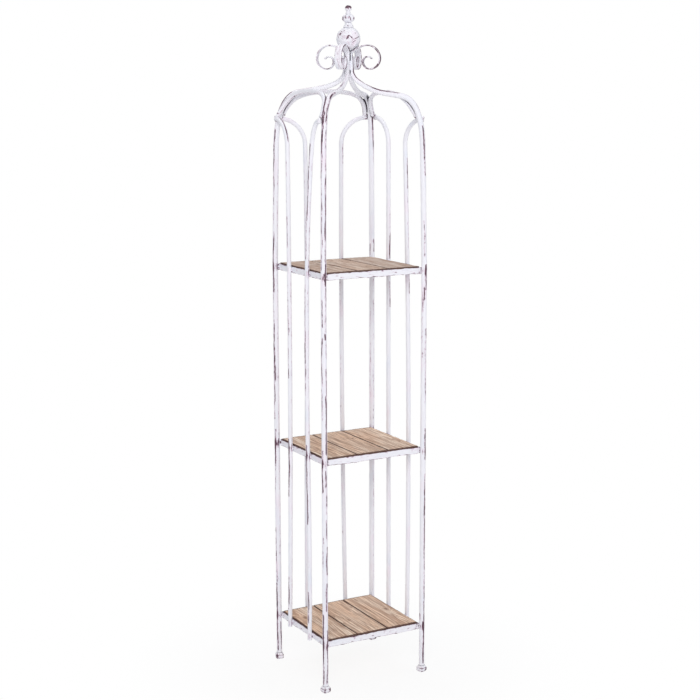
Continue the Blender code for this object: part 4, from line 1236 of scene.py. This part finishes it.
COLLAR_MARKS = (
    (((-0.12, -0.05), (-0.04, -0.22)), 1.15, 0.085),
    (((0.75, 0.30), (0.85, 0.10)), 0.60, 0.060),
)
MARK_WIDTH = 1.6  # how far a mark fades out, in half thicknesses

# The collar's profile in shares of its half width and height, and the cap's in metres
COLLAR_PROFILE = (
    (0.62, 0.10), (0.98, 0.02), (0.96, 0.12), (0.94, 0.26), (0.92, 0.38), (0.80, 0.55), (0.70, 0.72),
    (0.66, 0.98), (0.30, 1.00),
)
BALL_SHARE, BEAD_SHARE = 0.995, 0.99  # of the half width, so that their dents stay inside the solids
BALL_STUD = 0.0045  # radius left open at the ball's poles
BALL_SEAT = (0.0040, 0.0036)  # how near the strips the ball is darkened all over with painted shade and dirt, and how much farther it fades
BEAD_TURN = 1.22
BALL_LATITUDES, BEAD_LATITUDES, CAP_LATITUDES = 90, 60, 26
# The cap: (radius, height above its seat), (radius, depth below its top), and the dome on them
CAP_FOOT = ((0.0031, 0.0), (0.0072, 0.0), (0.0071, 0.001), (0.0062, 0.004), (0.005456, 0.007))
CAP_SHOULDER = ((0.005704, 0.0112), (0.00712, 0.0108))
CAP_BUTTON, CAP_DOME, CAP_TURN, CAP_TIP = 0.0089, 0.0086, 0.5, 0.0002
CAP_TOP_WEAR, CAP_TOP_GRIME = (1.2, 0.0150), (0.50, 0.0090)


def turned(node, profile, sides, paint, seed, dent, wear_at, grime_at, step=0.0006):
    """A turned and hand-finished piece from its profile of (radius, height)."""
    profile = np.array(profile, float)
    lengths = lengths_along(profile)
    wanted = np.linspace(0, lengths[-1], max(8, round(lengths[-1] / step)))
    radius, height = (np.interp(wanted, lengths, column) for column in profile.T)
    angle = np.linspace(0, 2 * math.pi, sides, endpoint=False)
    circle = np.stack([np.cos(angle), np.sin(angle)], -1)
    slope = np.arctan2(np.gradient(height, wanted), np.gradient(radius, wanted))
    place = lifted(radius[:, None, None] * circle[None], height)
    noise = waves(place, 0.012, seed)
    normal = lifted(circle[None] * np.sin(slope)[:, None, None], -np.cos(slope))
    rings = place + normal * (dent * np.clip(noise, -2, 1))[..., None]
    fields = (place + UP * TURNED_SHIFT * seed, wear_at(place, noise), grime_at(place))
    paint_piece(node, rings, fields, paint, 50)


def no_grime(place):
    return np.zeros(place.shape[:2])


def marks_on(place, centre, half_width, marks):
    """Wear along the marks on the side that faces the camera, and mirrored ones on the side behind."""
    right, towards = out_and_along(CAMERA_COMPASS)
    offset = (place - UP * centre) / half_width
    front = offset @ towards > 0
    spots = np.stack([np.where(front, 1, -1) * (offset @ right), offset[..., 2]], -1)
    total = np.zeros(place.shape[:2])
    for points, strength, thickness in marks:
        nearest = np.full(place.shape[:2], 9.0)
        for start, end in zip(points, points[1:]):
            start, span = np.array(start), np.subtract(end, start)
            share = np.clip(((spots - start) @ span) / (span @ span), 0, 1)
            nearest = np.minimum(nearest, np.linalg.norm(spots - start - share[..., None] * span, axis=-1))
        total = np.maximum(total, strength * bump_curve(nearest, thickness * MARK_WIDTH))
    return total


def marked(node, marks, amount, spread):
    """The wear of a turned piece: an even amount, its dents and its marks."""
    half_width, _, _, centre = sizes_of(node)

    def wear_at(place, noise):
        return amount + spread * np.clip(noise, -1, 1) + marks_on(place, centre, half_width, marks)

    return wear_at


def top_wear(place, noise):
    return 0.14 + worn(place[..., 2].max() - place[..., 2], CAP_TOP_WEAR) + 0.10 * noise


def top_grime(place):
    return worn(place[..., 2].max() - place[..., 2], CAP_TOP_GRIME)


def make_finial(paint, posts):
    radius, low, high, middle = sizes_of("finial_ball")
    centre = high - radius if high - low < 2 * radius else middle
    reach = math.asin(BALL_STUD / radius)
    turns = np.linspace(-math.pi / 2 + reach, math.pi / 2 - reach, BALL_LATITUDES)
    ball = [(radius * BALL_SHARE * math.cos(a), centre + radius * BALL_SHARE * math.sin(a)) for a in turns]
    strips = np.vstack([bar.centres[bar.s > bar.neck_start] for bar in posts.values()])

    # The ball is darkened next to the strips: painted shade of the seam, with some dirt
    def seat_shade_and_grime(place):
        return beside(place, strips, *BALL_SEAT)

    wear = marked("finial_ball", BALL_MARKS, 0.13, 0.09)
    turned("finial_ball", ball, 220, paint, 131, 0.00040, wear, seat_shade_and_grime, 0.0007)

    wide, low, high, _ = sizes_of("finial_collar")
    collar = [(wide * width, low + (high - low) * height) for width, height in COLLAR_PROFILE]
    wear = marked("finial_collar", COLLAR_MARKS, 0.12, 0.10)
    turned("finial_collar", collar, 72, paint, 132, 0.00045, wear, no_grime)

    wide, low, seat, middle = sizes_of("finial_bead")
    tall = (seat - low) / 2 / math.sin(BEAD_TURN)
    turns = np.linspace(-BEAD_TURN, BEAD_TURN, BEAD_LATITUDES)
    bead = [(wide * BEAD_SHARE * math.cos(a), middle + tall * math.sin(a)) for a in turns]
    wear = marked("finial_bead", BEAD_MARKS, 0.12, 0.09)
    turned("finial_bead", bead, 84, paint, 133, 0.00035, wear, no_grime)

    top = sizes_of("finial_cap")[2]
    cap = [(radius, seat + rise) for radius, rise in CAP_FOOT]
    cap += [(radius, top - depth) for radius, depth in CAP_SHOULDER]
    for a in np.linspace(-CAP_TURN, math.pi / 2, CAP_LATITUDES):
        cap.append((max(CAP_BUTTON * math.cos(a), CAP_TIP), top + CAP_DOME * (math.sin(a) - 1)))
    turned("finial_cap", cap, 56, paint, 134, 0.00025, top_wear, top_grime)


# Welds: radii of the beads, and where they lie

CORNER_WELD, CORNER_WELD_SHIFT, CORNER_WELD_OUT, CORNER_WELD_MARGIN = 0.0021, 0.0062, 0.0008, 0.0015
ROD_WELD, ROD_WELD_SIDE, ROD_WELD_DEPTH, ROD_WELD_REACH = 0.0015, 0.0042, 0.0006, 0.0045
TIP_WELD, TIP_WELD_BELOW, TIP_WELD_ABOVE = 0.0040, 0.0035, 0.0050
ARCH_WELD, ARCH_WELD_RINGS, ARCH_WELD_SHARE = 0.0052, 6, 0.35
NECK_WELD, NECK_WELD_PLACE, NECK_WELD_SPAN = 0.0022, 0.0068, (0.003, 0.021)
FILLET_RADIUS, FILLET_GAP, FILLET_SINK = 0.0019, 0.0034, 0.0002
FILLET_START, FILLET_STEP = 4, 3
# The fillet is coloured bare metal and near black, which stands for the weld and for painted shade in the
# gap
FILLET_WEAR_AND_SHADE, FILLET_SHADE = 1.3, 0.6
BEAD_STEP = 0.0008
BEAD_RIPPLES = (0.10, 0.9)  # how high, and how long in the bead's radii
BEAD_LUMPS = (0.13, 2.2)
BEAD_WEAR = (0.42, 0.26, 4)  # its middle, how far it varies, and over how many radii


def bead_of_weld(points, radius, seed, wear=None, grime_and_shade=0.0):
    """A lumpy bead of weld along a short line of points, as its rings and their fields."""
    points = np.array(points, float)
    lengths = lengths_along(points)
    count = max(10, round((lengths[-1] + 2 * radius) / BEAD_STEP))
    t = np.linspace(-radius, lengths[-1] + radius, count)
    inside = np.clip(t, 0, lengths[-1])
    centres = np.column_stack([np.interp(inside, lengths, column) for column in points.T])
    direction = points[-1] - points[0]
    direction /= np.linalg.norm(direction)
    centres += direction * (t - inside)[:, None]
    over = np.abs(t - inside) / radius
    ripple = 1 + BEAD_RIPPLES[0] * np.abs(np.sin(math.pi * t / (radius * BEAD_RIPPLES[1])))
    size = radius * np.sqrt(np.clip(1 - over**2, 0.0025, 1)) * ripple
    helper = np.array([0.31, 0.17, 0.93]) if abs(direction[2]) < 0.8 else np.array([0.9, 0.3, 0.1])
    first = np.cross(direction, helper)
    first /= np.linalg.norm(first)
    second = np.cross(direction, first)
    angle = np.linspace(0, 2 * math.pi, WELD_SIDES, endpoint=False)[:, None]
    rings = centres[:, None] + (np.cos(angle) * first + np.sin(angle) * second) * size[:, None, None]
    lumps = BEAD_LUMPS[0] * np.clip(waves(rings, radius * BEAD_LUMPS[1], seed), -2, 2)
    rings = centres[:, None] + (rings - centres[:, None]) * (1 + lumps)[..., None]
    if wear is None:
        middle, spread, size = BEAD_WEAR
        wear = middle + spread * np.clip(waves(rings, radius * size, seed + 1), -1, 1.5)
    shape = rings.shape[:2]
    return rings, {"run": rings, "wear": np.broadcast_to(wear, shape), "grime_and_shade": np.full(shape, grime_and_shade)}


def fillet(arch, legs, end, seed):
    """A thin weld bead in the narrow gap between an arch's end and the leg beside it, coloured dark as bare
    metal and as painted shade of the gap.
    """
    points = []
    centres = arch.centres if end == 0 else arch.centres[::-1]
    for spot in centres[FILLET_START : len(centres) // 2 : FILLET_STEP]:
        away = legs - spot
        nearest = away[np.argmin((away**2).sum(1))]
        distance = np.linalg.norm(nearest)
        gap = distance - ARCH_RADIUS - POST_RADIUS
        if gap > FILLET_GAP:
            break
        points.append(spot + nearest / distance * (ARCH_RADIUS + gap / 2 - FILLET_SINK))
    if len(points) < 4:
        return []
    return [bead_of_weld(points, FILLET_RADIUS, seed, FILLET_WEAR_AND_SHADE, FILLET_SHADE)]


def shelf_welds(shelf, rods, seed):
    """Beads in the corners of a shelf's frame and on both sides of each rod."""
    low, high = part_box(f"rail_{shelf}_front")
    z0, z1 = low.z + CORNER_WELD_MARGIN, high.z - CORNER_WELD_MARGIN
    beads = []
    for x, y in CORNERS.values():
        seed += 2
        for shift_x, shift_y in ((CORNER_WELD_SHIFT, 0.0), (0.0, CORNER_WELD_SHIFT)):
            spot = (x * (FRAME_X - shift_x + CORNER_WELD_OUT), y * (FRAME_Y - shift_y + CORNER_WELD_OUT))
            beads.append(bead_of_weld([(*spot, z0), (*spot, z1)], CORNER_WELD, seed + int(shift_x > 0)))
    for name, bar in rods.items():
        seed += 2
        nearest = bar.centres[np.argmin(np.abs(bar.centres[:, 2] - (z0 + z1) / 2))]
        out, along = out_and_along(SIDES[name.split("_")[0]])
        for hand in (-1, 1):
            spot = nearest - out * (ROD_RADIUS - ROD_WELD_DEPTH) + along * hand * ROD_WELD_SIDE
            line = [spot - UP * ROD_WELD_REACH, spot + UP * ROD_WELD_REACH]
            beads.append(bead_of_weld(line, ROD_WELD, seed + hand))
    return beads, seed


def make_welds(paint, posts, rods, arches, legs):
    seed = 201
    for shelf in SHELVES:
        beads, seed = shelf_welds(shelf, rods, seed)
        show(f"welds_{shelf}_shelf", beads, paint, sharp_angle=180)

    beads = []
    for bar in rods.values():
        seed += 2
        tip = bar.centres[-1]
        beads.append(bead_of_weld([tip - UP * TIP_WELD_BELOW, tip + UP * TIP_WELD_ABOVE], TIP_WELD, seed))
    for bar in arches.values():
        for end in (0, -1):
            seed += 2
            spot = bar.centres[end]
            inner = bar.centres[ARCH_WELD_RINGS if end == 0 else -1 - ARCH_WELD_RINGS]
            beads.append(bead_of_weld([spot, spot + (inner - spot) * ARCH_WELD_SHARE], ARCH_WELD, seed))
            beads += fillet(bar, legs, end, seed + 60)
    show("welds_arches", beads, paint, sharp_angle=180)

    beads = []
    neck = posts["front_left"].top[1] - NECK_HEIGHT
    for quarter in range(4):
        seed += 2
        angle = quarter * math.pi / 2
        spot = NECK_WELD_PLACE * np.array([math.cos(angle), math.sin(angle), 0])
        line = [spot + UP * (neck + height) for height in NECK_WELD_SPAN]
        beads.append(bead_of_weld(line, NECK_WELD, seed))
    show("welds_neck", beads, paint, sharp_angle=180)


# Screws: (share of the head's radius, height), from the recess round the head and up the shank
SCREW_PROFILE = (
    (0.22, 0.0009), (0.24, 0.00012), (0.55, 0.00012), (0.86, 0.0005), (0.98, 0.0011), (1.0, 0.0019),
    (0.5, 0.0019), (0.5, 0.0095), (0.46, 0.010), (0.12, 0.0117),
)
SCREW_RECESS = 0.3  # shares below this make the cross and the tip
SCREW_TURN = 0.7


def make_screws(steel):
    """Pan heads with a cross recess, under the frames."""
    low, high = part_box("screw_bottom_left_front")
    head = (high.x - low.x) / 2
    angle = 2 * math.pi * np.arange(SCREW_SIDES) / SCREW_SIDES
    cross = 0.55 + 1.35 * np.abs(np.cos(2 * angle)) ** 6
    for number, node in enumerate(sorted(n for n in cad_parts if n.startswith("screw_"))):
        middle = middle_of(node)
        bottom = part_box(node)[0].z
        around = angle + SCREW_TURN * number
        rings = []
        for share, height in SCREW_PROFILE:
            size = head * share * (cross if share < SCREW_RECESS else np.ones(SCREW_SIDES))
            x, y = middle.x + size * np.cos(around), middle.y + size * np.sin(around)
            rings.append(np.column_stack([x, y, np.full(SCREW_SIDES, bottom + height)]))
        rings = np.array(rings)
        show(f"steel_{node}", [(rings, {"run": rings})], steel, [node], 40)


# Floor, light and camera

FLOOR_HALF_SIZE = 14.0
FLOOR_COLOR = (0.92, 0.92, 0.93, 1)
WHITE = (1, 1, 1, 1)
SKY_COLOR = (0.965, 0.98, 1.0, 1)
SHADOW_NEAR = 0.22
SHADOW_FAR = 0.70
SHADOW_SHARE = 0.88
WORLD_STRENGTH = 0.52

# Lamps: (place, width and height, power). All aim at the middle of the tower.
LAMPS = {
    "key_softbox": ((-2.2, -3.7, 2.9), (1.6, 2.6), 102),
    "fill_softbox": ((3.4, -1.8, 2.2), (1.8, 2.6), 21),
    "top_softbox": ((0.2, 0.8, 4.2), (2.4, 2.4), 30),
}
LAMP_AIM = (0, 0, 0.9)

CAMERA_PLACE = (-1.9156, -3.4678, 1.6037)
CAMERA_AZIMUTH = math.radians(-28.953)
CAMERA_PITCH = math.radians(10.185)
CAMERA_ROLL = math.radians(-0.1186)
CAMERA_LENS = 76.97
SENSOR = 36.0


def make_stage():
    """A flat pale floor. The camera sees it white, and it keeps the shelf's soft shadow."""
    size = FLOOR_HALF_SIZE
    mesh = bpy.data.meshes.new("floor")
    points = [(-size, -size, 0), (size, -size, 0), (size, size, 0), (-size, size, 0)]
    mesh.from_pydata(points, [], [(0, 1, 2, 3)])
    floor = bpy.data.objects.new("floor", mesh)
    bpy.context.scene.collection.objects.link(floor)
    f = Finish("pale_floor")
    f.surface(Base_Color=FLOOR_COLOR, Roughness=0.8, Specular_IOR_Level=0.1)
    path = f.add("ShaderNodeLightPath")
    seen = f.math("MAXIMUM", path.outputs["Is Camera Ray"], path.outputs["Is Glossy Ray"])
    seen = f.math("MAXIMUM", seen, path.outputs["Is Transmission Ray"])
    glow = f.add("ShaderNodeEmission", Color=WHITE, Strength=1.0)
    place = f.add("ShaderNodeNewGeometry").outputs["Position"]
    away = f.add("ShaderNodeVectorMath", {"operation": "LENGTH"}, Vector=place).outputs["Value"]
    share = f.times(seen, f.span(away, SHADOW_NEAR, SHADOW_FAR, SHADOW_SHARE, 1.0))
    blend = f.in_order("ShaderNodeMixShader", (share, f.shader.outputs[0], glow.outputs[0]), {})
    f.link(blend, f.tree.nodes["Material Output"].inputs["Surface"])
    mesh.materials.append(f.material)


def make_world():
    """A soft pale sky that lights the shelf, and that the camera sees white."""
    world = bpy.data.worlds.new("studio")
    bpy.context.scene.world = world
    world.use_nodes = True
    tree = world.node_tree
    sky, white = tree.nodes["Background"], tree.nodes.new("ShaderNodeBackground")
    for node, color, strength in ((sky, SKY_COLOR, WORLD_STRENGTH), (white, WHITE, 1.0)):
        node.inputs["Color"].default_value = color
        node.inputs["Strength"].default_value = strength
    path = tree.nodes.new("ShaderNodeLightPath")
    seen = tree.nodes.new("ShaderNodeMath")
    seen.operation = "MAXIMUM"
    blend = tree.nodes.new("ShaderNodeMixShader")
    for output, socket in (
        (path.outputs["Is Camera Ray"], seen.inputs[0]),
        (path.outputs["Is Transmission Ray"], seen.inputs[1]),
        (seen.outputs[0], blend.inputs[0]),
        (sky.outputs[0], blend.inputs[1]),
        (white.outputs[0], blend.inputs[2]),
        (blend.outputs[0], tree.nodes["World Output"].inputs["Surface"]),
    ):
        tree.links.new(output, socket)


def make_lights():
    for name, (place, size, power) in LAMPS.items():
        lamp = bpy.data.lights.new(name, "AREA")
        lamp.shape = "RECTANGLE"
        lamp.size, lamp.size_y = size
        lamp.energy = power
        obj = bpy.data.objects.new(name, lamp)
        obj.location = place
        obj.rotation_euler = (Vector(LAMP_AIM) - Vector(place)).to_track_quat("-Z", "Y").to_euler()
        bpy.context.scene.collection.objects.link(obj)


def make_camera():
    """The camera at the photograph's place, which looks slightly down at the tower from its front left."""
    a, p, r = CAMERA_AZIMUTH, CAMERA_PITCH, CAMERA_ROLL
    back = Vector((math.sin(a) * math.cos(p), -math.cos(a) * math.cos(p), math.sin(p)))
    right = Vector((math.cos(a), math.sin(a), 0))
    up = back.cross(right)
    rolled_right = math.cos(r) * right + math.sin(r) * up
    rolled_up = -math.sin(r) * right + math.cos(r) * up
    camera = bpy.data.cameras.new("camera")
    camera.lens = CAMERA_LENS
    camera.sensor_width = SENSOR
    camera.clip_start = 0.05
    camera.clip_end = 100
    obj = bpy.data.objects.new("camera", camera)
    axes = Matrix((rolled_right, rolled_up, back)).transposed().to_4x4()
    obj.matrix_world = Matrix.Translation(CAMERA_PLACE) @ axes
    bpy.context.scene.collection.objects.link(obj)
    bpy.context.scene.camera = obj


def main():
    make_camera()
    make_world()
    make_lights()
    make_stage()
    paint = paint_finish()
    wood = wood_finish()
    steel = steel_finish()
    arches = arch_bars()
    rods = rod_bars()
    posts = post_bars()
    make_posts(paint, posts, arches, rods)
    legs = np.vstack([bar.centres[bar.centres[:, 2] > ROD_BEND_START] for bar in posts.values()])
    make_rods_and_arches(paint, rods, arches, legs)
    make_feet(paint)
    make_rails(paint)
    make_slats(wood)
    make_finial(paint, posts)
    make_screws(steel)
    make_welds(paint, posts, rods, arches, legs)
    bpy.context.scene.view_settings.view_transform = "Standard"


main()
